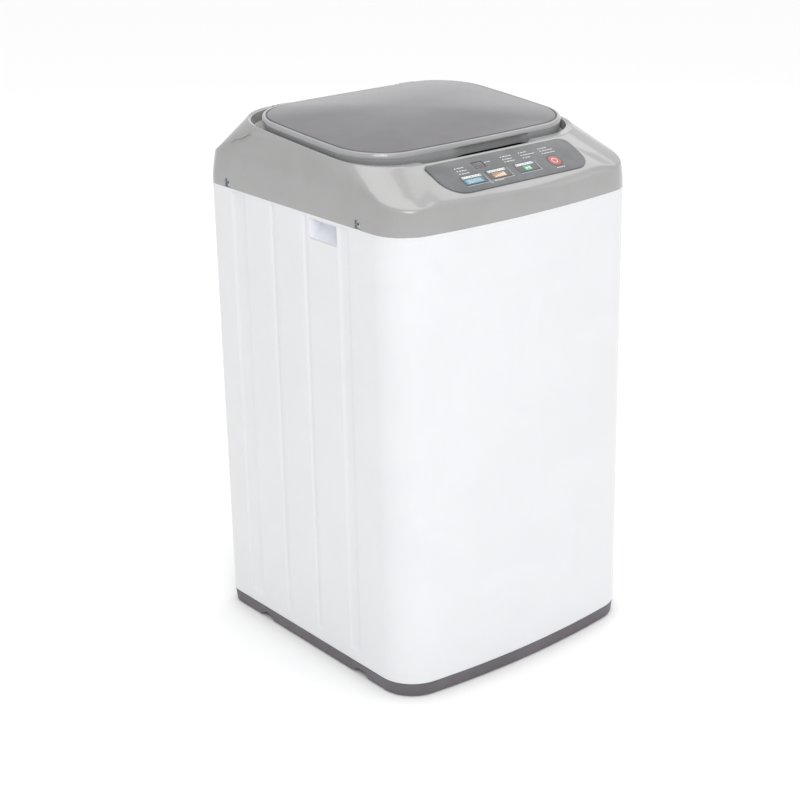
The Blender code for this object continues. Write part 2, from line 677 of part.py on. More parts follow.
# ---- tub, basket and agitation ----
def make_tub():
    wall = 0.0035
    profile = [(TUB_R, TUB_TOP), (TUB_R, TUB_TOP - 0.008), (TUB_R - 0.003, TUB_TOP - 0.010),
               (TUB_R - 0.006, TUB_FOOT + 0.020), (TUB_R - 0.018, TUB_FOOT), (0.034, TUB_FOOT),
               (0.034, TUB_FOOT - 0.004), (0.0225, TUB_FOOT - 0.004), (0.0225, TUB_FOOT + wall),
               (TUB_R - 0.021, TUB_FOOT + wall),
               (TUB_R - 0.006 - wall, TUB_FOOT + 0.022), (TUB_R - wall, TUB_TOP)]
    tub = turned("outer_tub", profile, NATURAL, 32)
    apply_all(tub)
    for sx in (-1, 1):
        for sy in (-1, 1):
            reach = Vector((sx * ROD_X, sy * ROD_Y)).normalized()
            inner = reach * (TUB_R - 0.0065)
            outer = Vector((sx * ROD_X, sy * ROD_Y)) + reach * 0.011
            side = Vector((-reach.y, reach.x)) * 0.014
            foot = [(p.x, p.y, LUG_Z) for p in (inner - side, outer - side, outer + side, inner + side)]
            lug = loft("lug_%d_%d" % (sx, sy), [foot, [(x, y, LUG_Z + 0.016) for x, y, z in foot]], NATURAL,
                       home=CUTTERS)
            fuse(tub, lug)
            cut(tub, rod("lug_hole_%d_%d" % (sx, sy), (sx * ROD_X, sy * ROD_Y, LUG_Z - 0.01),
                         (sx * ROD_X, sy * ROD_Y, LUG_Z + 0.03), 0.0065, NATURAL, CUTTERS, 14))
    cut(tub, rod("tub_drain", (-0.105, DRAIN_Y, 0.15), (-0.105, DRAIN_Y, 0.19), 0.011, NATURAL, CUTTERS))
    smooth(tub, 30)
    turned("tub_ring", [(TUB_R + 0.0005, TUB_TOP + 0.012), (TUB_R + 0.0005, TUB_TOP + GAP),
                        (TUB_R - 0.0075, TUB_TOP + GAP), (TUB_R - 0.0075, TUB_TOP + 0.014),
                        (0.163, TUB_TOP + 0.029), (0.156, TUB_TOP + 0.025), (0.1545, TUB_TOP + 0.027),
                        (0.163, TUB_TOP + 0.032), (TUB_R - 0.0065, TUB_TOP + 0.016)], NATURAL, 32)


def make_basket():
    wall = 0.0016
    inner = BASKET_R - wall
    turned("wash_basket", [(BASKET_R, BASKET_TOP), (BASKET_R, BASKET_FOOT + 0.015),
                           (BASKET_R - 0.012, BASKET_FOOT), (0.030, BASKET_FOOT), (0.030, BASKET_FOOT + wall),
                           (BASKET_R - 0.0125, BASKET_FOOT + wall), (inner, BASKET_FOOT + 0.0155),
                           (inner, BASKET_TOP)], STAINLESS, 32)
    turned("balance_ring", [(BASKET_R + 0.003, BASKET_TOP + 0.026), (BASKET_R + 0.003, BASKET_TOP + GAP),
                            (0.1555, BASKET_TOP + GAP), (0.1510, BASKET_TOP + 0.006),
                            (0.1510, BASKET_TOP + 0.020), (0.1570, BASKET_TOP + 0.030),
                            (BASKET_R - 0.002, BASKET_TOP + 0.030)], NATURAL, 32)
    turned("basket_hub", [(0.085, BASKET_FOOT - GAP), (0.085, BASKET_FOOT - 0.004),
                          (0.040, BASKET_FOOT - 0.006), (0.026, BASKET_FOOT - 0.014),
                          (0.0131, BASKET_FOOT - 0.014), (0.0131, BASKET_FOOT - GAP)], CAST, 28)
    hub_top = BASKET_FOOT + 0.0016
    disc = turned("pulsator", [(0, hub_top + 0.040), (0.016, hub_top + 0.038), (0.030, hub_top + 0.026),
                               (0.075, hub_top + 0.012), (0.140, hub_top + 0.010), (0.143, hub_top + 0.0035),
                               (0.140, hub_top + 0.0012), (0.0073, hub_top + 0.0012), (0.0073, 0.2293),
                               (0, 0.2293)], NATURAL, 32)
    apply_all(disc)
    for i in range(4):
        turn = Matrix.Rotation(math.pi / 2 * i + 0.3, 4, "Z")
        low, near, far = hub_top + 0.004, hub_top + 0.034, hub_top + 0.020
        foot = [(0.020, -0.007, low), (0.130, -0.009, low), (0.130, 0.009, low), (0.020, 0.007, low)]
        head = [(0.024, -0.002, near), (0.118, -0.003, far), (0.118, 0.003, far), (0.024, 0.002, near)]
        ends = [[turn @ Vector(p) for p in ring] for ring in (foot, head)]
        fuse(disc, loft("vane_%d" % i, ends, NATURAL, home=CUTTERS))
    smooth(disc, 30)
    turned("pulsator_cap", [(0, hub_top + 0.0470), (0.0070, hub_top + 0.0460), (0.0100, hub_top + 0.0430),
                            (0.0100, hub_top + 0.0403), (0, hub_top + 0.0403)], NATURAL, 24)


def make_filter():
    """Lint trap hooked to the basket wall: a shallow tray with a mesh bag behind its frame."""
    y1 = math.sqrt((BASKET_R - 0.0016) ** 2 - 0.038 ** 2) - 0.0010
    box_low, box_high = (-0.038, y1 - 0.012, 0.400), (0.038, y1, 0.520)
    trap = box("lint_filter", box_low, box_high, NATURAL)
    room = box("filter_room", (-0.032, y1 - 0.020, 0.408), (0.032, y1 - 0.003, 0.512), NATURAL, CUTTERS)
    cut(trap, room)
    return trap


# ---- drive ----
def make_drive():
    turned("drive_shaft", [(0, 0.2290), (SHAFT_R, 0.2290), (SHAFT_R, 0.0360), (0, 0.0360)], STEEL, 20)
    turned("spin_sleeve", [(SLEEVE_R, BASKET_FOOT - 0.0006), (SLEEVE_R, 0.0880), (0.0078, 0.0880),
                           (0.0078, BASKET_FOOT - 0.0006)], STEEL, 24)
    turned("shaft_seal", [(0.0220, TUB_FOOT + 0.006), (0.0220, TUB_FOOT - 0.003), (0.0130, TUB_FOOT - 0.003),
                          (0.0130, TUB_FOOT + 0.006)], RUBBER, 24)
    for name, low, high in (("upper_bearing", 0.1500, 0.1620), ("lower_bearing", 0.0950, 0.1060)):
        turned(name, [(0.0230, high), (0.0230, low), (0.0129, low), (0.0129, high)], DARK_STEEL, 24)
    turned("gearbox_housing", [(0.0285, 0.1632), (0.0285, 0.1560), (0.0580, 0.1560), (0.0580, 0.1500),
                               (0.0480, 0.1460), (0.0480, 0.1020), (0.0340, 0.0900), (0.0180, 0.0900),
                               (0.0180, 0.0945), (0.0234, 0.0945), (0.0234, 0.1630)], CAST, 20)
    plate("drive_plate", [rounded((-0.135, -0.165), (0.135, 0.172), 0.020), circle(0, 0, 0.0300, 24),
                          circle(0, MOTOR_Y, 0.0320, 24), circle(-0.105, DRAIN_Y, 0.0180, 20)],
          0.1568, 0.1592, STEEL)
    groove = BELT_T * 0.85
    pulley_low, pulley_high = PULLEY_Z - 0.003, PULLEY_Z + BELT_H + 0.003

    def rim(radius, bore):
        return [(radius + groove, pulley_high), (radius, PULLEY_Z + BELT_H + 0.0006),
                (radius, PULLEY_Z - 0.0006), (radius + groove, pulley_low), (bore, pulley_low),
                (bore, pulley_high)]

    large = turned("large_pulley", rim(PULLEY_R, SHAFT_R + GAP), CAST, 28)
    apply_all(large)
    for i in range(5):
        x, y, z = Matrix.Rotation(2 * math.pi / 5 * i, 3, "Z") @ Vector((0.042, 0, 0))
        cut(large, rod("pulley_window_%d" % i, (x, y, 0.03), (x, y, 0.08), 0.016, CAST, CUTTERS, 12))
    small = turned("motor_pulley", rim(MOTOR_PULLEY_R, 0.0063), CAST, 24)
    small.location = (0, MOTOR_Y, 0)
    inner = belt_outline(GAP * 2)
    outer = belt_outline(BELT_T)
    plate("drive_belt", [outer, inner], PULLEY_Z, PULLEY_Z + BELT_H, RUBBER)
    body = turned("motor_body", [(0.0300, 0.1560), (0.0460, 0.1530), (0.0500, 0.1480), (0.0500, 0.0800),
                                 (0.0440, 0.0720), (0.0120, 0.0700), (0.0120, 0.0760), (0.0064, 0.0760),
                                 (0.0064, 0.1500), (0.0300, 0.1500)], STEEL, 20)
    body.location = (0, MOTOR_Y, 0)
    axle = turned("motor_shaft", [(0, 0.1480), (0.0060, 0.1480), (0.0060, 0.0400), (0, 0.0400)], STEEL, 16)
    axle.location = (0, MOTOR_Y, 0)


def belt_outline(grow):
    """Belt path round both pulleys, grown outwards from their seats."""
    big, small, run = PULLEY_R + grow, MOTOR_PULLEY_R + grow, MOTOR_Y
    lean = math.acos((big - small) / run)
    points = []
    for i in range(25):
        turn = math.pi / 2 + lean + (2 * math.pi - 2 * lean) * i / 24
        points.append((big * math.cos(turn), big * math.sin(turn)))
    for i in range(13):
        turn = math.pi / 2 - lean + 2 * lean * i / 12
        points.append((small * math.cos(turn), run + small * math.sin(turn)))
    return points


# ---- water: inlet, drain, level sensing ----
def make_water():
    valve = box("inlet_valve", (0.086, 0.1780, 0.640), (0.124, REAR - 0.0323, 0.664), NATURAL)
    fuse(valve, rod("inlet_spigot", (0.105, 0.19, 0.652), (0.105, REAR - 0.004, 0.652), 0.0132, NATURAL,
                    CUTTERS, 28))
    cut(valve, rod("inlet_bore", (0.105, 0.185, 0.652), (0.105, 0.25, 0.652), 0.0085, NATURAL, CUTTERS, 20))
    tube("inlet_spout", [(0.105, 0.1777, 0.659), (0.105, 0.170, 0.659), (0.103, 0.162, 0.661),
                         (0.098, 0.150, 0.6645), (0.090, 0.132, 0.6645), (0.084, 0.118, 0.663)],
         0.0042, NATURAL, 3)

    def level(name, x0, x1, *rest):
        return rod(name, (x0, DRAIN_Y, DRAIN_Z), (x1, DRAIN_Y, DRAIN_Z), *rest)

    def upright(name, z0, z1, radius):
        return rod(name, (-0.105, DRAIN_Y, z0), (-0.105, DRAIN_Y, z1), radius, NATURAL, CUTTERS, 20)

    body = level("drain_valve", -0.138, -0.070, 0.0215, NATURAL, None, 24)
    fuse(body, upright("drain_neck", 0.13, TUB_FOOT - GAP, 0.0145))
    cut(body, level("drain_room", -0.134, -0.05, 0.0180, NATURAL, CUTTERS, 24))
    cut(body, upright("drain_throat", 0.14, 0.18, 0.0110))
    cut(body, level("drain_exit", -0.15, -0.12, 0.0090, NATURAL, CUTTERS, 20))
    plunger = turned("drain_plunger", [(0, 0.1157), (0.0030, 0.1157), (0.0030, -0.010), (0.0140, -0.012),
                                       (0.0170, -0.018), (0.0120, -0.024), (0, -0.024)], RUBBER, 20)
    plunger.rotation_euler = (0, math.pi / 2, 0)
    plunger.location = (-0.1097, DRAIN_Y, DRAIN_Z)
    puller = box("drain_actuator", (0.000, DRAIN_Y - 0.024, 0.106), (0.074, DRAIN_Y + 0.024, 0.152), BLACK)
    cut(puller, level("actuator_slot", -0.01, 0.012, 0.0060, BLACK, CUTTERS, 16))
    cut(puller, level("actuator_bore", 0.010, 0.030, 0.0050, BLACK, CUTTERS, 16))
    route = [(-0.1384, DRAIN_Y, DRAIN_Z), (-0.148, DRAIN_Y, DRAIN_Z), (-0.158, -0.103, 0.125),
             (-0.165, -0.092, 0.118), (-0.168, -0.076, 0.110), (-0.168, -0.050, 0.100), (-0.168, -0.010, 0.092),
             (-0.167, 0.035, 0.087), (-0.163, 0.080, 0.085), (-0.154, 0.120, 0.085), (-0.143, 0.150, 0.085),
             (-0.132, 0.168, 0.085), (-0.127, 0.181, 0.085), (-0.127, 0.1905, 0.085)]
    tube("drain_hose", route, 0.0115, BLACK, 3)
    spigot = rod("drain_outlet", (-0.127, 0.1912, 0.085), (-0.127, REAR - 0.004, 0.085), 0.0120, BLACK, steps=28)
    cut(spigot, rod("drain_bore", (-0.127, 0.194, 0.085), (-0.127, 0.25, 0.085), 0.0095, BLACK, CUTTERS))
    sensor = turned("pressure_sensor", [(0, 0.030), (0.021, 0.030), (0.024, 0.026), (0.024, 0.010),
                                        (0.021, 0.006), (0.004, 0.006), (0.004, -0.008), (0, -0.008)],
                    NATURAL, 24)
    sensor.location = (0.150, -0.175, 0.692)
    gland = turned("cord_gland", [(0, 0.0), (0.0100, 0.0), (0.0100, -0.0018), (0.0062, -0.0018), (0.0062, -0.012),
                                  (0, -0.012)], BLACK, 20)
    gland.rotation_euler = (-math.pi / 2, 0, 0)
    gland.location = (0.150, PANEL_BACK + 0.0018 + GAP, 0.090)
    box("lid_switch", (-0.100, 0.153, 0.728), (-0.068, 0.171, 0.752), BLACK)


# ---- suspension ----
def make_suspension():
    corners = (("front_left", -1, -1), ("front_right", 1, -1), ("rear_right", 1, 1), ("rear_left", -1, 1))
    for name, sx, sy in corners:
        washer = HANGER_Z + 0.0033
        bar = turned("rod_" + name, [(0, 0.6420), (0.0060, 0.6410), (0.0090, 0.6370), (0.0095, washer),
                                     (0.0040, washer), (0.0040, 0.2070), (0.0150, 0.2060),
                                     (0.0150, 0.2020), (0.0050, 0.2000), (0, 0.2000)], STEEL, 12)
        bar.location = (sx * ROD_X, sy * ROD_Y, 0)
        turns, per_turn, radius, wire = 4, 8, 0.0115, 0.0014
        low, high = SPRING_FOOT - 0.0036, LUG_Z - 0.0018
        coil = []
        for i in range(turns * per_turn + 1):
            part = i / (turns * per_turn)
            turn = 2 * math.pi * i / per_turn
            coil.append((sx * ROD_X + radius * math.cos(turn), sy * ROD_Y + radius * math.sin(turn),
                         low + (high - low) * part))
        tube("spring_" + name, coil, wire, DARK_STEEL, 0)


def main():
    global PARTS, CUTTERS
    clear_scene()
    PARTS = collection(NAME)
    CUTTERS = collection(NAME + "_cutters")
    make_base()
    make_feet()
    make_cabinet()
    make_rear_panel()
    make_grips()
    make_top_frame()
    make_controls()
    make_lid()
    make_tub()
    make_basket()
    make_filter()
    make_drive()
    make_water()
    make_suspension()


main()
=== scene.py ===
import math

import bmesh
import bpy
from mathutils import Matrix, Vector


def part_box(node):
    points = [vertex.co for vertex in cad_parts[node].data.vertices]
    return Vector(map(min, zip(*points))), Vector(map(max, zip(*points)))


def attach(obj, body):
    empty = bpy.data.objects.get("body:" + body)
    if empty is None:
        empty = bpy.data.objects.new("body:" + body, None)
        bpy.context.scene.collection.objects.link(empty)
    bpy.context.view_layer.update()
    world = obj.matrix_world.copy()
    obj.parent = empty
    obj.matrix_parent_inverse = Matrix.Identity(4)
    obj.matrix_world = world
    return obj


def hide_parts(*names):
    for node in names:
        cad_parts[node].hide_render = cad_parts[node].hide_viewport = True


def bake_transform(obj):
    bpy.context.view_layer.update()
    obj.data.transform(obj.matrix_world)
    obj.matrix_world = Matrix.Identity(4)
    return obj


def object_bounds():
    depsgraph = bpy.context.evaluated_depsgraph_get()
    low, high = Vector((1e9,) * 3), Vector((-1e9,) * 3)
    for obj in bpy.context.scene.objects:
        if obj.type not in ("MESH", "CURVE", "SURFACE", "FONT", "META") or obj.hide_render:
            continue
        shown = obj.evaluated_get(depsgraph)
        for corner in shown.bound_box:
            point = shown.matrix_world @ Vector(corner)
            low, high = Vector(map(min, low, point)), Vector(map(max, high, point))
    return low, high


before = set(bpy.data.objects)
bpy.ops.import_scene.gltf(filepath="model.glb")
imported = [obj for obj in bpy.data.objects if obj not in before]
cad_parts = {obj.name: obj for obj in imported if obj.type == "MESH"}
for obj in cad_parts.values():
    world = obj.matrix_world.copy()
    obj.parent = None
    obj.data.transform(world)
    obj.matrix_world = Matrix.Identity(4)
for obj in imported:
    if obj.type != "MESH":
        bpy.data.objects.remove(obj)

cadBox = [list(corner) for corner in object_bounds()]
print("washer: frame loaded,", len(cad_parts), "nodes")

# the machine's driving sizes, read from the frame (metres)
washer = {
    "half": cadBox[1][0],
    "front": cadBox[0][1],
    "rear": cadBox[1][1],
    "top": cadBox[1][2],
    "cabinetTop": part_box("cabinet_shell")[1].z,
    "baseTop": 0.021,
    "frontBow": 0.0187,       # the front corners stand back from its middle by this much
    "frontRadius": 0.057,
    "rearRadius": 0.030,
    "crest": (0.7673, 0.0774),   # height at the middle and rise towards the rear of the rim round the lid
    "lidPlane": (0.77867, 0.070),
    "slopeRise": 0.4982,      # gradient of the control slope
    "slopeFoot": 0.716,
    "hinge": (0.115, 0.1770, 0.7835),
    "rod": (0.172, 0.178),       # hanger rods, out from the middle
}


# camera, light and floor

stage = {
    "azimuth": -40.05,
    "elevation": 19.98,
    "roll": -0.68,
    "place": (-1.6104, -1.9495, 1.3214),
    "lens": 80.6,
    "shift": (-0.049, -0.045),
    "world": 0.72,
    "floorColour": (0.93, 0.93, 0.93),
}


def makeCamera():
    data = bpy.data.cameras.new("viewpoint")
    data.lens = stage["lens"]
    data.sensor_width = 36.0
    data.shift_x, data.shift_y = stage["shift"]
    data.clip_start = 0.05
    data.clip_end = 60.0
    camera = bpy.data.objects.new("viewpoint", data)
    bpy.context.scene.collection.objects.link(camera)
    turn = math.radians(stage["azimuth"])
    tip = math.radians(90.0 - stage["elevation"])
    aim = Matrix.Rotation(turn, 4, "Z") @ Matrix.Rotation(tip, 4, "X")
    roll = Matrix.Rotation(math.radians(stage["roll"]), 4, "Z")
    camera.matrix_world = Matrix.Translation(stage["place"]) @ aim @ roll
    bpy.context.scene.camera = camera


def placeLight(name, data, place, target, power, tint=(1.0, 1.0, 1.0)):
    data.energy = power
    data.color = tint
    lamp = bpy.data.objects.new(name, data)
    bpy.context.scene.collection.objects.link(lamp)
    lamp.location = place
    lamp.rotation_mode = "QUATERNION"
    lamp.rotation_quaternion = (Vector(target) - Vector(place)).to_track_quat("-Z", "Y")
    return lamp


def softLight(name, place, target, size, power, tint=(1.0, 1.0, 1.0)):
    data = bpy.data.lights.new(name, "AREA")
    data.shape = "RECTANGLE"
    data.size, data.size_y = size
    return placeLight(name, data, place, target, power, tint)


def makeStage():
    world = bpy.data.worlds.new("studio")
    bpy.context.scene.world = world
    world.use_nodes = True
    sky = world.node_tree.nodes["Background"]
    sky.inputs["Color"].default_value = (1.0, 1.0, 1.0, 1.0)
    sky.inputs["Strength"].default_value = stage["world"]
    bpy.context.scene.view_settings.view_transform = "Standard"
    middle = (0.0, 0.0, 0.45)
    ceiling = bpy.data.lights.new("ceiling", "SUN")
    ceiling.angle = math.radians(50.0)
    placeLight("ceiling", ceiling, (0.0, 0.0, 3.0), (0.0, 0.05, 0.0), 1.05)
    softLight("frontKey", (-1.54, -2.37, 2.0), middle, (1.3, 1.3), 22.0)
    softLight("frontStrip", (-0.6, -2.1, 2.2), middle, (1.4, 0.07), 4.0)
    softLight("slopeSheen", (1.75, 0.45, 2.65), (0.0, -0.19, 0.74), (1.7, 1.7), 9.0)
    softLight("rearPanel", (2.56, 3.06, 1.5), (0.0, 0.0, 0.78), (3.0, 1.3), 4.0)
    softLight("rightPanel", (2.2, -1.9, 1.3), middle, (0.8, 1.3), 2.0, (0.97, 0.985, 1.0))
    bm = bmesh.new()
    bmesh.ops.create_circle(bm, cap_ends=True, segments=96, radius=50.0)
    mesh = bpy.data.meshes.new("studioFloor")
    bm.to_mesh(mesh)
    bm.free()
    ground = bpy.data.objects.new("studioFloor", mesh)
    bpy.context.scene.collection.objects.link(ground)
    paint = bpy.data.materials.new("studioFloor")
    paint.use_nodes = True
    shader = paint.node_tree.nodes["Principled BSDF"]
    shader.inputs["Base Color"].default_value = (*stage["floorColour"], 1.0)
    shader.inputs["Roughness"].default_value = 0.9
    ground.data.materials.append(paint)


makeCamera()
makeStage()
print("washer: camera, lights and floor")


# shared surface effects

def newGroup(name, inputs, outputs):
    group = bpy.data.node_groups.new(name, "ShaderNodeTree")
    for label, value in inputs:
        made = group.interface.new_socket(name=label, in_out="INPUT", socket_type="NodeSocketFloat")
        made.default_value = value
    for label in outputs:
        group.interface.new_socket(name=label, in_out="OUTPUT", socket_type="NodeSocketFloat")
    start = group.nodes.new("NodeGroupInput")
    end = group.nodes.new("NodeGroupOutput")
    return group, start, end


def mathNode(tree, operation, first, second=None, clamp=False):
    node = tree.nodes.new("ShaderNodeMath")
    node.operation = operation
    node.use_clamp = clamp
    for slotNumber, value in enumerate((first, second)):
        if value is None:
            continue
        if isinstance(value, (int, float)):
            node.inputs[slotNumber].default_value = value
        else:
            tree.links.new(value, node.inputs[slotNumber])
    return node.outputs[0]


def noiseNode(tree, vector, scale, detail=3.0, rough=0.5, distortion=0.0):
    node = tree.nodes.new("ShaderNodeTexNoise")
    node.inputs["Detail"].default_value = detail
    node.inputs["Roughness"].default_value = rough
    node.inputs["Distortion"].default_value = distortion
    tree.links.new(vector, node.inputs["Vector"])
    if isinstance(scale, (int, float)):
        node.inputs["Scale"].default_value = scale
    else:
        tree.links.new(scale, node.inputs["Scale"])
    return node.outputs["Fac"]


def rangeNode(tree, value, low, high, toLow=0.0, toHigh=1.0):
    node = tree.nodes.new("ShaderNodeMapRange")
    node.interpolation_type = "SMOOTHSTEP"
    tree.links.new(value, node.inputs["Value"])
    for label, number in (("From Min", low), ("From Max", high), ("To Min", toLow), ("To Max", toHigh)):
        if isinstance(number, (int, float)):
            node.inputs[label].default_value = number
        else:
            tree.links.new(number, node.inputs[label])
    return node.outputs["Result"]


def objectSpace(tree):
    return tree.nodes.new("ShaderNodeTexCoord").outputs["Object"]


def makeGrain():
    group, start, end = newGroup("mouldGrain", (("Scale", 900.0), ("Cells", 0.5)), ("Height", "Fleck"))
    space = objectSpace(group)
    fine = noiseNode(group, space, start.outputs["Scale"], 4.0, 0.6)
    cells = group.nodes.new("ShaderNodeTexVoronoi")
    cells.feature = "SMOOTH_F1"
    cells.inputs["Smoothness"].default_value = 0.6
    group.links.new(space, cells.inputs["Vector"])
    group.links.new(mathNode(group, "MULTIPLY", start.outputs["Scale"], 0.6), cells.inputs["Scale"])
    pebbles = mathNode(group, "MULTIPLY", cells.outputs["Distance"], start.outputs["Cells"])
    group.links.new(mathNode(group, "ADD", fine, pebbles), end.inputs["Height"])
    group.links.new(rangeNode(group, fine, 0.35, 0.70), end.inputs["Fleck"])
    return group


def makeWear():
    group, start, end = newGroup("edgeWear", (("From", 0.52), ("To", 0.60), ("Breakup", 60.0)), ("Mask",))
    bend = group.nodes.new("ShaderNodeNewGeometry").outputs["Pointiness"]
    edge = rangeNode(group, bend, start.outputs["From"], start.outputs["To"])
    breakup = noiseNode(group, objectSpace(group), start.outputs["Breakup"], 5.0, 0.65)
    patch = rangeNode(group, breakup, 0.42, 0.66)
    group.links.new(mathNode(group, "MULTIPLY", edge, patch), end.inputs["Mask"])
    return group


def makeDust():
    group, start, end = newGroup("settledDust", (("Amount", 0.3), ("Scale", 28.0)), ("Mask",))
    facing = group.nodes.new("ShaderNodeSeparateXYZ")
    group.links.new(group.nodes.new("ShaderNodeNewGeometry").outputs["Normal"], facing.inputs[0])
    upward = rangeNode(group, facing.outputs["Z"], 0.25, 1.0)
    drift = noiseNode(group, objectSpace(group), start.outputs["Scale"], 3.0, 0.5)
    cloud = rangeNode(group, drift, 0.35, 0.75)
    settled = mathNode(group, "MULTIPLY", upward, cloud)
    group.links.new(mathNode(group, "MULTIPLY", settled, start.outputs["Amount"]), end.inputs["Mask"])
    return group


def makeSmudge():
    group, start, end = newGroup("handSmudge", (("Scale", 9.0), ("Swirl", 1.5)), ("Value", "Fine"))
    space = objectSpace(group)
    broad = noiseNode(group, space, start.outputs["Scale"], 4.0, 0.55, 1.2)
    swirl = mathNode(group, "MULTIPLY", start.outputs["Scale"], start.outputs["Swirl"])
    streak = noiseNode(group, space, mathNode(group, "MULTIPLY", swirl, 6.0), 3.0, 0.6, 2.5)
    group.links.new(rangeNode(group, broad, 0.30, 0.72), end.inputs["Value"])
    group.links.new(rangeNode(group, streak, 0.40, 0.68), end.inputs["Fine"])
    return group


def makeBrush():
    parts = (("Along X", 8.0), ("Along Y", 8.0), ("Along Z", 900.0))
    group, start, end = newGroup("rolledStreaks", parts, ("Value",))
    stretch = group.nodes.new("ShaderNodeCombineXYZ")
    for number, part in enumerate(parts):
        group.links.new(start.outputs[part[0]], stretch.inputs[number])
    scaled = group.nodes.new("ShaderNodeVectorMath")
    scaled.operation = "MULTIPLY"
    group.links.new(objectSpace(group), scaled.inputs[0])
    group.links.new(stretch.outputs[0], scaled.inputs[1])
    group.links.new(noiseNode(group, scaled.outputs[0], 1.0, 3.0, 0.55), end.inputs["Value"])
    return group


effects = {"grain": makeGrain(), "wear": makeWear(), "dust": makeDust(), "smudge": makeSmudge(),
           "brush": makeBrush()}


def placeEffect(tree, effect, **values):
    node = tree.nodes.new("ShaderNodeGroup")
    node.node_tree = effects[effect]
    for label, value in values.items():
        node.inputs[label.replace("_", " ")].default_value = value
    return node.outputs


def blendColour(tree, factor, first, second):
    node = tree.nodes.new("ShaderNodeMix")
    node.data_type = "RGBA"
    tree.links.new(factor, node.inputs[0])
    for number, colour in ((6, first), (7, second)):
        if isinstance(colour, tuple):
            node.inputs[number].default_value = (*colour, 1.0)
        else:
            tree.links.new(colour, node.inputs[number])
    return node.outputs[2]


def shadeOf(colour, amount):
    return tuple(max(0.0, min(1.0, part * amount)) for part in colour)


finishes = {
    "frameGloss": dict(colour=(0.334, 0.336, 0.332), rough=0.17, spread=0.03, coat=0.6,
                       grain=(1400.0, 0.00001), wear=(0.56, 0.06), dust=0.03, tone=0.03),
    "lidGloss": dict(colour=(0.326, 0.328, 0.334), rough=0.19, spread=0.03, coat=0.6, grain=(1400.0, 0.00001),
                     wear=(0.56, 0.06), dust=0.03, tone=0.03),
    "enamel": dict(colour=(0.745, 0.755, 0.775), rough=0.28, spread=0.02, coat=0.1, grain=(160.0, 0.000002),
                   wear=(0.58, 0.04), dust=0.03, tone=0.012),
    "basePlastic": dict(colour=(0.125, 0.116, 0.128), rough=0.48, spread=0.10, grain=(1500.0, 0.00012),
                        wear=(0.54, 0.22), dust=0.25, tone=0.10),
    "gripPlastic": dict(colour=(0.80, 0.81, 0.86), rough=0.34, spread=0.08, grain=(1800.0, 0.00005),
                        wear=(0.56, 0.05), dust=0.05, tone=0.03),
    "overlayFilm": dict(colour=(0.088, 0.094, 0.100), rough=0.34, spread=0.08, coat=0.25,
                        grain=(2600.0, 0.00003), wear=(0.56, 0.05), dust=0.08, tone=0.05),
    "keyFilm": dict(colour=(0.085, 0.090, 0.096), rough=0.36, spread=0.10, coat=0.2, grain=(2600.0, 0.00003),
                    wear=(0.54, 0.12), dust=0.05, tone=0.05),
    "blackPlastic": dict(colour=(0.028, 0.028, 0.030), rough=0.46, spread=0.12, grain=(1500.0, 0.00010),
                         wear=(0.54, 0.20), dust=0.20, tone=0.15),
    "footRubber": dict(colour=(0.030, 0.030, 0.031), rough=0.78, spread=0.12, grain=(1100.0, 0.00018),
                       wear=(0.54, 0.30), dust=0.35, tone=0.20),
    "naturalPlastic": dict(colour=(0.70, 0.715, 0.71), rough=0.42, spread=0.10, grain=(900.0, 0.00006),
                           wear=(0.56, 0.08), dust=0.10, tone=0.05),
    "stainless": dict(colour=(0.60, 0.61, 0.63), rough=0.24, spread=0.12, metal=1.0, brush=(6.0, 6.0, 700.0),
                      grain=(500.0, 0.00001), wear=(0.56, 0.05), dust=0.05, tone=0.06),
    "zincSteel": dict(colour=(0.55, 0.56, 0.57), rough=0.34, spread=0.16, metal=0.9, brush=(90.0, 90.0, 20.0),
                      grain=(260.0, 0.00003), wear=(0.54, 0.12), dust=0.15, tone=0.14),
    "castAluminium": dict(colour=(0.50, 0.51, 0.53), rough=0.50, spread=0.14, metal=0.85,
                          grain=(800.0, 0.00015), wear=(0.54, 0.20), dust=0.15, tone=0.10),
    "whitePrint": dict(colour=(0.80, 0.81, 0.82), rough=0.42, spread=0.06, grain=(3000.0, 0.00002),
                       wear=(0.56, 0.10), dust=0.05, tone=0.06),
    "bluePrint": dict(colour=(0.070, 0.26, 0.40), rough=0.40, spread=0.06, grain=(3000.0, 0.00002),
                      wear=(0.56, 0.10), dust=0.05, tone=0.08),
    "orangePrint": dict(colour=(0.46, 0.25, 0.100), rough=0.40, spread=0.06, grain=(3000.0, 0.00002),
                        wear=(0.56, 0.10), dust=0.05, tone=0.08),
    "greenPrint": dict(colour=(0.075, 0.40, 0.20), rough=0.40, spread=0.06, grain=(3000.0, 0.00002),
                       wear=(0.56, 0.10), dust=0.05, tone=0.08),
    "redPrint": dict(colour=(0.42, 0.080, 0.072), rough=0.36, spread=0.08, coat=0.2, grain=(3000.0, 0.00002),
                     wear=(0.56, 0.10), dust=0.05, tone=0.08),
    "displaySmoke": dict(colour=(0.060, 0.044, 0.046), rough=0.10, spread=0.06, coat=0.5,
                         grain=(3000.0, 0.00001), wear=(0.58, 0.05), dust=0.05, tone=0.10),
    "smokedWindow": dict(colour=(0.160, 0.155, 0.166), rough=0.21, spread=0.015, coat=0.0,
                         grain=(700.0, 0.000004), wear=(0.60, 0.04), dust=0.02, tone=0.03),
}


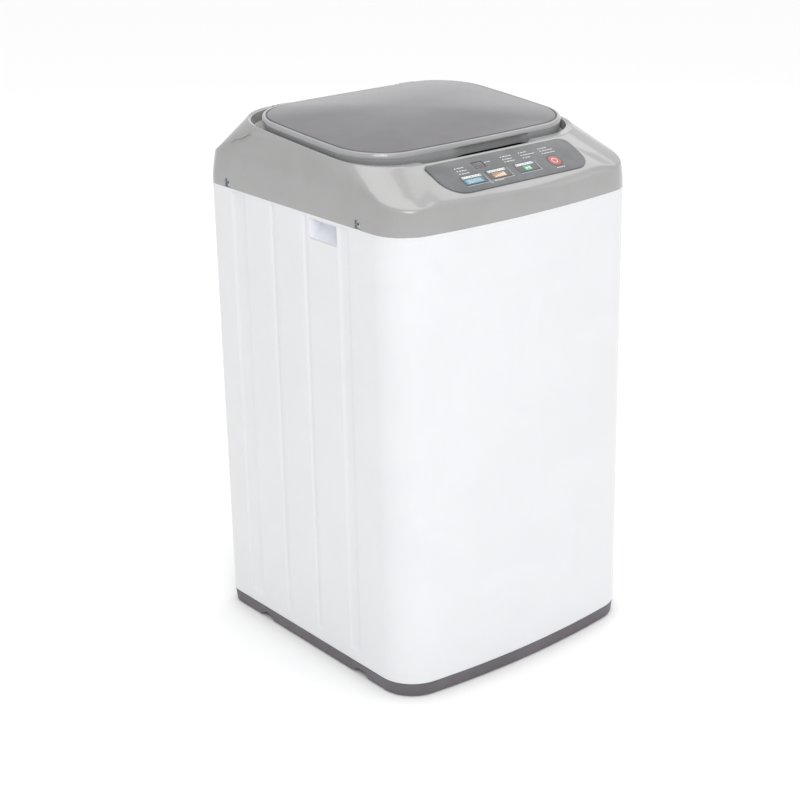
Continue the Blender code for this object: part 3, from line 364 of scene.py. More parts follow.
def makeFinish(name):
    look = finishes[name]
    paint = bpy.data.materials.new(name)
    paint.use_nodes = True
    tree = paint.node_tree
    shader = tree.nodes["Principled BSDF"]
    colour = look["colour"]
    smudge = placeEffect(tree, "smudge", Scale=look.get("smudge", 9.0))
    darker, lighter = shadeOf(colour, 1.0 - look["tone"]), shadeOf(colour, 1.0 + look["tone"])
    base = blendColour(tree, smudge["Value"], darker, lighter)
    wearStart, wearAmount = look["wear"]
    worn = placeEffect(tree, "wear", From=wearStart, To=wearStart + 0.08)
    wornMask = mathNode(tree, "MULTIPLY", worn["Mask"], wearAmount * 3.0, True)
    base = blendColour(tree, wornMask, base, shadeOf(colour, 1.35 if sum(colour) < 1.8 else 0.9))
    dust = placeEffect(tree, "dust", Amount=look["dust"])
    base = blendColour(tree, dust["Mask"], base, (0.62, 0.61, 0.59))
    rough = mathNode(tree, "MULTIPLY", smudge["Fine"], look["spread"])
    rough = mathNode(tree, "ADD", rough, look["rough"])
    rough = mathNode(tree, "ADD", rough, mathNode(tree, "MULTIPLY", dust["Mask"], 0.35), True)
    grain = placeEffect(tree, "grain", Scale=look["grain"][0])
    height = grain["Height"]
    if "brush" in look:
        streaks = placeEffect(tree, "brush", **dict(zip(("Along_X", "Along_Y", "Along_Z"), look["brush"])))
        height = mathNode(tree, "ADD", height, streaks["Value"])
        rough = mathNode(tree, "ADD", rough, mathNode(tree, "MULTIPLY", streaks["Value"], 0.12), True)
        base = blendColour(tree, streaks["Value"], base, shadeOf(colour, 1.12))
    bump = tree.nodes.new("ShaderNodeBump")
    bump.inputs["Strength"].default_value = 0.6
    bump.inputs["Distance"].default_value = look["grain"][1]
    tree.links.new(height, bump.inputs["Height"])
    tree.links.new(base, shader.inputs["Base Color"])
    tree.links.new(rough, shader.inputs["Roughness"])
    tree.links.new(bump.outputs["Normal"], shader.inputs["Normal"])
    shader.inputs["Metallic"].default_value = look.get("metal", 0.0)
    shader.inputs["Coat Weight"].default_value = look.get("coat", 0.0)
    shader.inputs["Coat Roughness"].default_value = 0.06
    return paint


paints = {name: makeFinish(name) for name in finishes}
print("washer:", len(paints), "finishes")


# making and placing pieces

def addPiece(bm, name, body, finish, replaced=(), sharp=32.0, tidy=True):
    if tidy:
        bmesh.ops.remove_doubles(bm, verts=bm.verts, dist=1e-6)
        bmesh.ops.recalc_face_normals(bm, faces=bm.faces)
    mesh = bpy.data.meshes.new(name)
    bm.to_mesh(mesh)
    bm.free()
    mesh.shade_smooth()
    mesh.set_sharp_from_angle(angle=math.radians(sharp))
    piece = bpy.data.objects.new(name, mesh)
    bpy.context.scene.collection.objects.link(piece)
    mesh.materials.append(paints[finish])
    if body:
        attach(piece, body)
    if replaced:
        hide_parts(*replaced)
    return piece


def thicken(piece, thickness, offset=-1.0):
    # the open edges are kept crisp where the wall's edge faces meet them
    bm = bmesh.new()
    bm.from_mesh(piece.data)
    for edge in bm.edges:
        if edge.is_boundary:
            edge.smooth = False
    bm.to_mesh(piece.data)
    bm.free()
    wall = piece.modifiers.new("wall", "SOLIDIFY")
    wall.thickness = thickness
    wall.offset = offset
    return piece


def skin(bm, columns, rows, where):
    # a grid of faces bent to shape: where(column, row) gives each crossing's place
    made = bmesh.ops.create_grid(bm, x_segments=columns, y_segments=rows, size=0.5)["verts"]
    for corner in made:
        column = round((corner.co.x + 0.5) * columns)
        row = round((corner.co.y + 0.5) * rows)
        corner.co = where(column, row)
    return made


def ringSkin(bm, rings):
    # rings are closed loops of points with one count; the grid's last column meets its first
    count = len(rings[0])
    return skin(bm, count, len(rings) - 1, lambda i, j: rings[j][i % count])


def softEdges(bm, edges, offset, segments):
    bmesh.ops.bevel(bm, geom=edges, offset=offset, segments=segments, affect="EDGES", profile=0.5,
                    material=-1)


def raiseFace(bm, face):
    # extrudes one face and gives the new one, still in the old one's place
    made = bmesh.ops.extrude_face_region(bm, geom=[face])["geom"]
    return [part for part in made if isinstance(part, bmesh.types.BMFace)][0]


def onCircle(radius, turn, height):
    return Vector((radius * math.cos(turn), radius * math.sin(turn), height))


def lathe(bm, profile, steps=96, centre=(0.0, 0.0, 0.0), closed=True):
    # (radius, height) points turned about a vertical axis
    cx, cy, cz = centre
    corners = [bm.verts.new((cx + radius, cy, cz + height)) for radius, height in profile]
    edges = [bm.edges.new(pair) for pair in zip(corners, corners[1:])]
    if closed:
        edges.append(bm.edges.new((corners[-1], corners[0])))
    bmesh.ops.spin(bm, geom=corners + edges, cent=centre, axis=(0, 0, 1), angle=2 * math.pi, steps=steps,
                   use_merge=True)
    bmesh.ops.remove_doubles(bm, verts=bm.verts, dist=1e-6)


def rounded(points, radii, steps=4, closed=False):
    # replaces each corner of a path with an arc of its radius
    count = len(points)
    radii = radii if isinstance(radii, (list, tuple)) else [radii] * count
    path = []
    for i, spot in enumerate(points):
        spot = Vector(spot)
        if not closed and i in (0, count - 1):
            path.append(spot)
            continue
        before = Vector(points[i - 1]) - spot
        after = Vector(points[(i + 1) % count]) - spot
        corner = before.angle(after, math.pi)
        if radii[i] <= 0.0 or corner > math.pi - 0.02:
            path.extend([spot] * (steps + 1) if radii[i] > 0.0 else [spot])
            continue
        back = min(radii[i] / math.tan(corner / 2), 0.48 * before.length, 0.48 * after.length)
        start = before.normalized() * back
        end = after.normalized() * back
        middle = (start + end) / (2 * math.cos(corner / 2) ** 2)
        sweep = math.pi - corner
        for k in range(steps + 1):
            part = k / steps
            first = math.sin((1 - part) * sweep) / math.sin(sweep)
            second = math.sin(part * sweep) / math.sin(sweep)
            path.append(spot + middle + (start - middle) * first + (end - middle) * second)
    return path


def ease(value):
    value = max(0.0, min(1.0, value))
    return value * value * (3.0 - 2.0 * value)


def planLoop(half, front, rear, bows, radii, sideBow=0.0, steps=(24, 26, 40, 16, 14)):
    # plan outline with bowed front and rear and round corners, from the front middle round by +X
    def endShape(edge, bow, radius, sign):
        big = (half * half + bow * bow) / (2 * bow)
        centre = edge + sign * big
        drop = math.sqrt((big - radius) ** 2 - (half - radius) ** 2)
        lean = math.asin((half - radius) / (big - radius))
        return big, centre, (half - radius, centre - sign * drop), lean

    big, centre, corner, lean = endShape(front, bows[0], radii[0], 1)
    points = []
    for i in range(steps[0]):
        turn = lean * i / steps[0]
        points.append((big * math.sin(turn), centre - big * math.cos(turn)))
    for i in range(steps[1]):
        turn = lean + (math.pi / 2 - lean) * i / steps[1]
        points.append((corner[0] + radii[0] * math.sin(turn), corner[1] - radii[0] * math.cos(turn)))
    big, centre, back, lean = endShape(rear, bows[1], radii[1], -1)
    for i in range(steps[2]):
        points.append((half, corner[1] + (back[1] - corner[1]) * i / steps[2]))
    for i in range(steps[3]):
        turn = (math.pi / 2 - lean) * i / steps[3]
        points.append((back[0] + radii[1] * math.cos(turn), back[1] + radii[1] * math.sin(turn)))
    for i in range(steps[4] + 1):
        turn = lean * (1 - i / steps[4])
        points.append((big * math.sin(turn), centre + big * math.cos(turn)))
    middle = (front + rear) / 2
    reach = (rear - front) / 2
    points = [(x * (1 - sideBow / half * ((y - middle) / reach) ** 2), y) for x, y in points]
    return points + [(-x, y) for x, y in points[-2:0:-1]]


def cabinetLoop(inset=0.0, **changes):
    return planLoop(washer["half"] - inset, washer["front"] + inset, washer["rear"] - inset,
                    (washer["frontBow"], 0.0006),
                    (washer["frontRadius"] - inset, washer["rearRadius"] - inset), **changes)


def crestHeight(y, drop=0.0):
    return washer["crest"][0] + washer["crest"][1] * y - drop


def lidHeight(y, drop=0.0):
    return washer["lidPlane"][0] + washer["lidPlane"][1] * y - drop


def slopeHeight(y):
    return washer["slopeFoot"] + (y - washer["front"]) * washer["slopeRise"]


def asCutter(bm):
    bmesh.ops.recalc_face_normals(bm, faces=bm.faces)
    mesh = bpy.data.meshes.new("cutter")
    bm.to_mesh(mesh)
    bm.free()
    cutter = bpy.data.objects.new("cutter", mesh)
    bpy.context.scene.collection.objects.link(cutter)
    return cutter


def cutAway(piece, cutters):
    # applies the cuts at once, so that no cutter is left in the scene
    for cutter in cutters:
        cut = piece.modifiers.new("cut", "BOOLEAN")
        cut.operation = "DIFFERENCE"
        cut.solver = "EXACT"
        cut.object = cutter
    graph = bpy.context.evaluated_depsgraph_get()
    mesh = bpy.data.meshes.new_from_object(piece.evaluated_get(graph))
    piece.modifiers.clear()
    piece.data = mesh
    mesh.set_sharp_from_angle(angle=math.radians(34.0))
    for cutter in cutters:
        bpy.data.objects.remove(cutter, do_unlink=True)




# top frame: side wall, control slope, rim round the lid, nest for the lid and the mouth over the basket

topFrame = {
    "inset": 0.0005,
    "lip": ((-0.232, 0.7140), (-0.197, 0.7180), (-0.155, 0.7280), (-0.102, 0.7390), (-0.062, 0.7485),
            (-0.030, 0.7540), (0.110, 0.7640), (0.150, 0.7560), (0.185, 0.7370), (0.232, 0.7220)),
    "lipRadius": 0.0085,
    "slopeMarks": (0.30, 0.42, 0.54, 0.66, 0.78, 0.90),
    "panelHalf": 0.138,           # the slope is flat this far out, under the overlay
    "dip": (-0.122, 0.085, 0.026, 0.008, 0.0068),   # finger recess: left, right, left ramp, right ramp, depth
    "wall": 0.0022,
    "window": (-0.100, 0.096, -0.026, 0.0225),      # opening for the keys, under the overlay
    "screws": (0.172, -0.133),
    "notch": (0.0068, 0.6888),    # half width and middle height of the notch over each side screw
}


def throughMarks(marks, y):
    # smooth curve through (y, z) marks
    for i in range(len(marks) - 1):
        y0, z0 = marks[i]
        y1, z1 = marks[i + 1]
        if y > y1 and i < len(marks) - 2:
            continue
        before = marks[max(i - 1, 0)]
        after = marks[min(i + 2, len(marks) - 1)]
        slope0 = (z1 - before[1]) / (y1 - before[0])
        slope1 = (after[1] - z0) / (after[0] - y0)
        t = max(0.0, min(1.0, (y - y0) / (y1 - y0)))
        run = y1 - y0
        return ((2 * t ** 3 - 3 * t ** 2 + 1) * z0 + (t ** 3 - 2 * t ** 2 + t) * run * slope0
                + (3 * t ** 2 - 2 * t ** 3) * z1 + (t ** 3 - t ** 2) * run * slope1)


def leanIn(x, y, z):
    # the side wall leans inwards as it rises
    lean = max(0.0, z - 0.690) / 0.080
    return Vector((x * (1 - 0.0705 * lean ** 1.3), y * (1 - 0.012 * min(1.0, lean)), z))


def fingerDip(x):
    left, right, rampLeft, rampRight, depth = topFrame["dip"]
    return depth * ease((x - left) / rampLeft) * ease((right - x) / rampRight)


def framePath(outer, low, high, nest, nestFoot, floor, mouth, mouthFoot):
    # one section of the frame, from its foot up the wall, over the rim and down into the mouth
    flat = 1.0 - ease((abs(outer[0]) - topFrame["panelHalf"]) / 0.045)
    flat *= 1.0 if outer[1] < 0 else 0.0
    lip = throughMarks(topFrame["lip"], outer[1]) + 0.0012
    lip += (slopeHeight(outer[1]) - lip) * flat
    rise = lip - 0.690
    tall = max(0.0, min(1.0, (rise - 0.026) / 0.05))
    points = [Vector((*outer, washer["cabinetTop"] + 0.00005)), Vector((*outer, 0.6900)),
              leanIn(*outer, 0.690 + rise * (0.18 + 0.17 * tall)),
              leanIn(*outer, 0.690 + rise * (0.36 + 0.34 * tall)), leanIn(*outer, lip)]
    radii = [0, 0, 0, 0, topFrame["lipRadius"] + 0.010 * flat * ease(abs(outer[0]) / 0.12)]
    rimLow = Vector((*low, crestHeight(low[1], 0.0012)))
    for mark in topFrame["slopeMarks"]:
        spot = points[4].lerp(rimLow, mark)
        spot.z += (slopeHeight(spot.y) - spot.z) * flat
        points.append(spot)
        radii.append(0)
    rimTop = Vector((*high, crestHeight(high[1])))
    dip = fingerDip(nest[0]) if nest[1] < -0.12 else 0.0
    ledge = Vector((*nest, crestHeight(nest[1], 0.0008) - dip))
    shelf = rimTop.lerp(ledge, 0.30)
    shelf.z = crestHeight(shelf.y, 0.0003) - 0.88 * dip
    points += [rimLow, rimTop, shelf, ledge, Vector((*nestFoot, crestHeight(nestFoot[1], 0.0150))),
               Vector((*floor, crestHeight(floor[1], 0.0165))), Vector((*mouth, 0.7080)),
               Vector((*mouthFoot, 0.6720))]
    radii += [0.0012, 0.0008, 0.0022, 0.0010, 0.0016, 0.0030, 0.0060, 0]
    return rounded(points, radii, 4)


def topEdges(bm, height):
    # the edges above a height that run across the machine
    found = []
    for edge in bm.edges:
        first, second = (v.co for v in edge.verts)
        if min(first.z, second.z) > height and abs(first.y - second.y) < 1e-6:
            found.append(edge)
    return found


def screwNotch(sx, y):
    half, height = topFrame["notch"]
    bm = bmesh.new()
    bmesh.ops.create_cube(bm, size=1.0)
    bmesh.ops.scale(bm, vec=(0.012, 2 * half, 0.0180), verts=bm.verts)
    bmesh.ops.translate(bm, vec=(sx * washer["half"], y, height - 0.0038), verts=bm.verts)
    top = topEdges(bm, height)
    softEdges(bm, top, 0.0026, 6)
    return asCutter(bm)


def makeTopFrame():
    outer = cabinetLoop(topFrame["inset"])
    small = (0.004, 0.004)
    loops = [outer,
             planLoop(0.2068, -0.1515, 0.1980, small, (0.080, 0.080), 0.0038),
             planLoop(0.2056, -0.1503, 0.1968, small, (0.079, 0.079), 0.0038),
             planLoop(0.2030, -0.1370, 0.1900, small, (0.076, 0.076), 0.0038),
             planLoop(0.2022, -0.1360, 0.1892, small, (0.075, 0.075), 0.0038),
             planLoop(0.1600, -0.1140, 0.1480, (0.006, 0.006), (0.100, 0.100)),
             planLoop(0.1400, -0.1220, 0.1420, (0.012, 0.012), (0.122, 0.122)),
             planLoop(0.1380, -0.1200, 0.1400, (0.012, 0.012), (0.120, 0.120))]
    sections = [framePath(*spots) for spots in zip(*loops)]
    rings = [list(ring) for ring in zip(*sections)]
    bm = bmesh.new()
    ringSkin(bm, rings)
    bmesh.ops.remove_doubles(bm, verts=bm.verts, dist=1e-6)
    left, right, low, high = topFrame["window"]
    hidden = []
    for face in bm.faces:
        middle = onSlope.inverted() @ face.calc_center_median()
        if left < middle.x < right and low < middle.y < high and abs(middle.z) < 0.004:
            hidden.append(face)
    bmesh.ops.delete(bm, geom=hidden, context="FACES")
    shell = addPiece(bm, "top_frame_shell", "root", "frameGloss", ("top_frame",), 34)
    thicken(shell, topFrame["wall"])
    cutAway(shell, [screwNotch(sx, y) for sx in (-1, 1) for y in topFrame["screws"]])
    return shell


# the control slope carries everything that is laid out flat as (across, up, out)

slopeLean = math.atan(washer["slopeRise"])
panelY = -0.186
onSlope = Matrix.Translation((0.0, panelY, slopeHeight(panelY))) @ Matrix.Rotation(slopeLean, 4, "X")

makeTopFrame()
print("washer: top frame")


def makeEars():
    # four ears stand on the nest floor and carry the hinge pins
    x, y, z = washer["hinge"]
    for sx in (-1, 1):
        for side in (-1, 1):
            bm = bmesh.new()
            bmesh.ops.create_cube(bm, size=1.0)
            bmesh.ops.scale(bm, vec=(0.0058, 0.0092, 0.0240), verts=bm.verts)
            bmesh.ops.translate(bm, vec=(sx * x + side * 0.0145, y, z + 0.0036 - 0.0120), verts=bm.verts)
            top = topEdges(bm, z)
            softEdges(bm, top, 0.0036, 8)
            edges = [e for e in bm.edges if e.is_manifold and e.calc_face_angle(0) > 1.0]
            softEdges(bm, edges, 0.0005, 2)
            name = "hinge_ear_" + ("left" if sx < 0 else "right") + ("_inner" if side * sx < 0 else "_outer")
            addPiece(bm, name, "root", "frameGloss")


makeEars()


# lid: rim with its skirt and hinge arms, and the crowned smoked window

lid = {
    "half": 0.1940,
    "front": -0.1260,
    "rear": 0.1640,
    "middle": 0.019,
    "gap": 0.0021,            # the window stands back from the rim by this much; a black strip fills the joint as painted shade of the groove
    "scoop": (-0.054, 0.0860, 0.032, 0.005, 0.0085),   # finger scoop: left, right, both ramps, depth
    "rings": 26,
}


def lidLoop(grow, drop):
    outline = planLoop(lid["half"] + grow, lid["front"] - grow, lid["rear"] + grow, (0.006, 0.006),
                       (0.070 + grow, 0.070 + grow), 0.0050)
    return [Vector((x, y, lidHeight(y, drop))) for x, y in outline]


def scoopIn(spot, share):
    # the skirt stands back under the front edge, to let fingers in
    left, right, rampLeft, rampRight, depth = lid["scoop"]
    if spot.y > -0.09:
        return spot
    inward = depth * share * ease((spot.x - left) / rampLeft) * ease((right - spot.x) / rampRight)
    return spot + Vector((0.0, inward, 0.0))


def makeLidRim():
    # outward growth, drop below the lid's plane, corner radius, share of the finger scoop
    marks = ((0.0036, 0.0210, 0.0005, 1.0), (0.0044, 0.0088, 0.0020, 1.0), (0.0049, 0.0066, 0.0012, 0.0),
             (0.0049, 0.0040, 0.0020, 0.0), (0.0036, 0.0006, 0.0016, 0.0), (0.0, 0.0002, 0.0005, 0.0),
             (0.0, 0.0045, 0.0004, 0.0), (-0.0118, 0.0045, 0.0005, 0.0), (-0.0118, 0.0068, 0.0005, 0.0),
             (0.0006, 0.0070, 0.0012, 1.0), (0.0012, 0.0210, 0.0005, 1.0))
    loops = [[scoopIn(spot, share) for spot in lidLoop(grow, drop)] for grow, drop, radius, share in marks]
    radii = [radius for grow, drop, radius, share in marks]
    sections = [rounded(spots, radii, 4, closed=True) for spots in zip(*loops)]
    rings = [list(ring) for ring in zip(*sections)]
    bm = bmesh.new()
    ringSkin(bm, rings + [rings[0]])
    return addPiece(bm, "lid_rim", "lid", "lidGloss", ("lid_frame",), 34)


def makeLidGapShade():
    # painted shade of the groove between the window and the rim: a thin black strip set in the joint
    outer, inner = -0.00005, -lid["gap"] + 0.00005
    marks = ((outer, 0.0012), (outer, 0.0044), (inner, 0.0044), (inner, 0.0012),
             ((outer + inner) / 2, 0.0009))
    rings = [lidLoop(grow, drop) for grow, drop in marks]
    bm = bmesh.new()
    ringSkin(bm, rings + [rings[0]])
    addPiece(bm, "lid_gap_shade", "lid", "footRubber", (), 34)


def makeLidArms():
    x, y, z = washer["hinge"]
    eye = rounded([(0.0042, 0, -0.0098), (0.0042, 0, 0.0098), (0.0027, 0, 0.0098), (0.0027, 0, -0.0098)],
                  0.0004, 3, closed=True)
    for sx in (-1, 1):
        side = "left" if sx < 0 else "right"
        bm = bmesh.new()
        lathe(bm, [(spot.x, spot.z) for spot in eye], 40)
        bmesh.ops.rotate(bm, verts=bm.verts, cent=(0, 0, 0), matrix=Matrix.Rotation(math.pi / 2, 3, "Y"))
        bmesh.ops.translate(bm, vec=(sx * x, y, z), verts=bm.verts)
        addPiece(bm, "lid_eye_" + side, "lid", "lidGloss")
        bm = bmesh.new()
        bmesh.ops.create_cube(bm, size=1.0)
        bmesh.ops.scale(bm, vec=(0.0190, 0.0105, 0.0060), verts=bm.verts)
        bmesh.ops.translate(bm, vec=(sx * x, y - 0.0082, z - 0.0004), verts=bm.verts)
        softEdges(bm, bm.edges[:], 0.0009, 3)
        addPiece(bm, "lid_arm_" + side, "lid", "lidGloss")


def windowCrown():
    rise = washer["lidPlane"][1] * (lid["rear"] - lid["gap"] - lid["middle"])
    room = washer["top"] - lidHeight(lid["middle"])
    return (room + math.sqrt(room ** 2 - rise ** 2)) / 2 - 0.0001


def makeWindow():
    edge = lidLoop(-lid["gap"], 0.0)
    crown = windowCrown()

    def windowRing(scale, drop):
        ring = []
        for spot in edge:
            y = lid["middle"] + (spot.y - lid["middle"]) * scale
            ring.append(Vector((spot.x * scale, y, lidHeight(y, drop) + crown * (1 - scale * scale))))
        return ring

    rings = [windowRing(0.0, 0.0042)]
    rings += [windowRing(part, 0.0042) for part in (0.25, 0.6, 0.85, 0.955, 0.994)]
    rings += [windowRing(1.0, 0.0036), windowRing(1.0, 0.0012), windowRing(0.9985, 0.0005),
              windowRing(0.994, 0.0001)]
    for i in range(1, lid["rings"]):
        rings.append(windowRing(math.sqrt(1.0 - (i / lid["rings"]) ** 1.6 * 0.9999), 0.0))
    rings.append(windowRing(0.0, 0.0))
    bm = bmesh.new()
    ringSkin(bm, rings)
    return addPiece(bm, "lid_glazing", "lid", "smokedWindow", ("lid_window",), 40)


makeLidRim()
makeLidGapShade()
makeLidArms()
makeWindow()
print("washer: lid")


# cabinet wrap with pressed flutes, grip openings and a rolled top edge

cabinet = {
    "sheet": 0.0012,
    "fluteDepth": 0.0022,
    "fluteFoot": 0.046,
    "footRamp": 0.009,
    "flutes": ((0.166, 0.129, 0.007), (0.069, 0.058, 0.004), (-0.008, -0.019, 0.004),
               (-0.087, -0.114, 0.007)),     # near edge, far edge, ramp
    "rampSteps": 5,
    "gripY": (-0.087, -0.025),
    "gripZ": (0.647, 0.676),
    "hem": 0.0006,            # the rolled top edge stands this proud of the wall
    "flange": 0.172,          # where the wrap ends behind the rear cover
}


def fluteDepth(y):
    for near, far, ramp in cabinet["flutes"]:
        if far < y < near:
            return cabinet["fluteDepth"] * ease((near - y) / ramp) * ease((y - far) / ramp)
    return 0.0


def wallMarks():
    # where the side wall needs a column: flute ramps, grip edges and a few between
    marks = set(cabinet["gripY"])
    for near, far, ramp in cabinet["flutes"]:
        for k in range(cabinet["rampSteps"] + 1):
            marks.add(round(near - ramp * k / cabinet["rampSteps"], 5))
            marks.add(round(far + ramp * k / cabinet["rampSteps"], 5))
    for k in range(30):
        y = -0.150 + 0.011 * k
        if all(abs(y - mark) > 0.003 for mark in marks) and y < 0.170:
            marks.add(round(y, 5))
    return sorted(marks)


def makeCabinet():
    half = washer["half"]
    loop = cabinetLoop(cabinet["hem"])
    rightHalf = loop[:len(loop) // 2 + 1]
    front = [spot for spot in rightHalf if spot[1] < -0.152]
    back = [spot for spot in rightHalf if spot[1] > 0.178 and spot[0] > cabinet["flange"]]
    side = [(half - cabinet["hem"], y) for y in wallMarks()]
    right = front + side + back + [(cabinet["flange"], washer["rear"] - cabinet["hem"])]
    columns = [(-x, y) for x, y in right[:0:-1]] + right
    foot = washer["baseTop"] + 0.0004
    top = washer["cabinetTop"]
    rows = [(foot, 0.0016), (foot + 0.0006, 0.0006), (foot + 0.0016, 0.0001), (foot + 0.003, 0.0)]
    rows += [(0.030, 0.0), (0.036, 0.0)]
    steps = 7
    rows += [(cabinet["fluteFoot"] - cabinet["footRamp"] * (1 - k / steps), 0.0) for k in range(steps + 1)]
    rows += [(z, 0.0) for z in (0.080, 0.160, 0.240, 0.320, 0.400, 0.480, 0.560, 0.620)]
    rows += [(cabinet["gripZ"][0], 0.0), (0.657, 0.0), (0.667, 0.0), (cabinet["gripZ"][1], 0.0)]
    rows += [(top - 0.0036, 0.0), (top - 0.0031, -0.0004), (top - 0.0026, -0.0006), (top - 0.0014, -0.0006),
             (top - 0.0010, -0.00055), (top - 0.0003, -0.0003), (top, 0.0001), (top, 0.0020)]

    def place(column, row):
        x, y = columns[column]
        z, inset = rows[row]
        if abs(x) > half - cabinet["hem"] - 1e-6 and z < top - 0.003:
            fade = ease((z - cabinet["fluteFoot"] + cabinet["footRamp"]) / cabinet["footRamp"])
            inset += fluteDepth(y) * fade
        outward = Vector((x / half ** 2 if abs(x) > 0.16 else 0.0, y / washer["rear"] ** 2, 0.0))
        if abs(y) < 0.17:
            outward.y = 0.0
        if y > 0.20 and abs(x) < 0.20:
            outward.x = 0.0
        outward.normalize()
        return Vector((x, y, z)) - outward * inset

    bm = bmesh.new()
    skin(bm, len(columns) - 1, len(rows) - 1, place)
    holes = []
    for face in bm.faces:
        middle = face.calc_center_median()
        inY = cabinet["gripY"][0] < middle.y < cabinet["gripY"][1]
        inZ = cabinet["gripZ"][0] < middle.z < cabinet["gripZ"][1]
        if inY and inZ and abs(middle.x) > 0.2:
            holes.append(face)
    bmesh.ops.delete(bm, geom=holes, context="FACES")
    for sx in (-1, 1):
        def atGrip(corner):
            return sx * corner.co.x > 0.2 and -0.1 < corner.co.y < 0.0 and 0.64 < corner.co.z < 0.6765

        for depth, shift in ((0.0006, 0.0003), (0.0018, 0.0)):
            rim = [edge for edge in bm.edges if edge.is_boundary and all(map(atGrip, edge.verts))]
            made = bmesh.ops.extrude_edge_only(bm, edges=rim)["geom"]
            fresh = [v for v in made if isinstance(v, bmesh.types.BMVert)]
            bmesh.ops.translate(bm, vec=(-sx * depth, 0, 0), verts=fresh)
            for corner in fresh:
                corner.co.y += shift if corner.co.y < -0.05 else -shift
    wrap = addPiece(bm, "cabinet_wrap", "root", "enamel", ("cabinet_shell",), 30)
    return thicken(wrap, cabinet["sheet"])


makeCabinet()
print("washer: cabinet")


# base rim with its finger notches, floor plate and feet

base = {
    "foot": 0.0015,
    "top": 0.021,
    "notches": ((0.144, 0.114), (-0.089, -0.122)),
    "notchTop": 0.0095,
    "opening": 0.128,         # half width of the square service opening
}


def notchLift(x, y, z):
    # the rim's lower edge rises over each notch: a slope at its rear end, a step at its front end
    if abs(x) < 0.19:
        return z
    for near, far in base["notches"]:
        share = ease((near - y) / 0.012) * ease((y - far + 0.0015) / 0.0015)
        z = max(z, z + (base["notchTop"] - z) * share) if z < base["notchTop"] else z
    return z


def makeBase():
    marks = ((0.0105, 0.0350, 0), (0.0080, 0.0350, 0), (0.0080, 0.0212, 0.0004), (0.0016, 0.0209, 0.0005),
             (0.0016, 0.0175, 0.0004), (0.0022, 0.0120, 0.0010), (0.0034, base["foot"], 0.0016),
             (0.0122, base["foot"], 0.0008), (0.0110, 0.0105, 0), (0.0105, 0.0330, 0))
    loops = []
    for inset, height, radius in marks:
        loop = cabinetLoop(inset, steps=(24, 26, 130, 16, 14))
        loops.append([Vector((x, y, notchLift(x, y, height))) for x, y in loop])
    radii = [radius for inset, height, radius in marks]
    sections = [rounded(spots, radii, 3, closed=True) for spots in zip(*loops)]
    rings = [list(ring) for ring in zip(*sections)]
    bm = bmesh.new()
    ringSkin(bm, rings + [rings[0]])
    addPiece(bm, "base_rim", "root", "basePlastic", ("base_frame",), 34)
    bm = bmesh.new()
    outline = cabinetLoop(0.0102)
    reach = base["opening"]
    mouth = planLoop(reach, -reach, reach, (0.001, 0.001), (0.014, 0.014))
    rings = []
    for share in (0.0, 0.06, 0.14, 0.5, 0.86, 0.94, 1.0):
        bead = 0.0016 if share in (0.14, 0.86) else 0.0
        rings.append([Vector((x0 + (x1 - x0) * share, y0 + (y1 - y0) * share, 0.0138 - bead))
                      for (x0, y0), (x1, y1) in zip(outline, mouth)])
    ringSkin(bm, rings)
    plate = addPiece(bm, "base_floor", "root", "basePlastic", (), 34)
    thicken(plate, 0.0026)


def makeFeet():
    footProfile = [(0, 0.0185), (0.0078, 0.0170), (0.0056, 0.0150), (0.0056, 0.0102), (0.0165, 0.0100),
                   (0.0180, 0.0070), (0.0176, 0.0062), (0.0184, 0.0054), (0.0178, 0.0046), (0.0185, 0.0038),
                   (0.0182, 0.0012), (0.0172, 0.0), (0.0140, 0.0), (0.0132, 0.0007), (0.0090, 0.0007),
                   (0.0082, 0.0), (0.0050, 0.0), (0.0044, 0.0007), (0, 0.0007)]
    for node in ("foot_rear_left", "foot_rear_right", "foot_front_right"):
        low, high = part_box(node)
        middle = (low + high) / 2
        bm = bmesh.new()
        lathe(bm, footProfile, 40, (middle.x, middle.y, 0.0), closed=False)
        addPiece(bm, node + "_pad", "root", "footRubber", (node,))
    low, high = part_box("levelling_foot")
    middle = (low + high) / 2
    profile = [(0, 0.0338), (0.0040, 0.0338), (0.0048, 0.0328)]
    for k in range(12):
        z = 0.0318 - 0.0018 * k
        profile += [(0.0050, z), (0.0043, z - 0.0009)]
    profile += [(0.0050, 0.0100), (0.0090, 0.0096), (0.0094, 0.0090), (0.0176, 0.0084), (0.0184, 0.0076),
                (0.0185, 0.0014), (0.0174, 0.0), (0.0135, 0.0), (0.0128, 0.0008), (0, 0.0008)]
    bm = bmesh.new()
    lathe(bm, profile, 40, (middle.x, middle.y, 0.0), closed=False)
    addPiece(bm, "levelling_foot_pad", "foot", "footRubber", ("levelling_foot",))


makeBase()
makeFeet()
print("washer: base and feet")


# hand grips: trays set into the side walls, with a sloping floor

grips = {"lip": 0.0010, "taper": 0.0022, "floorRise": 0.0150, "wall": 0.0014}


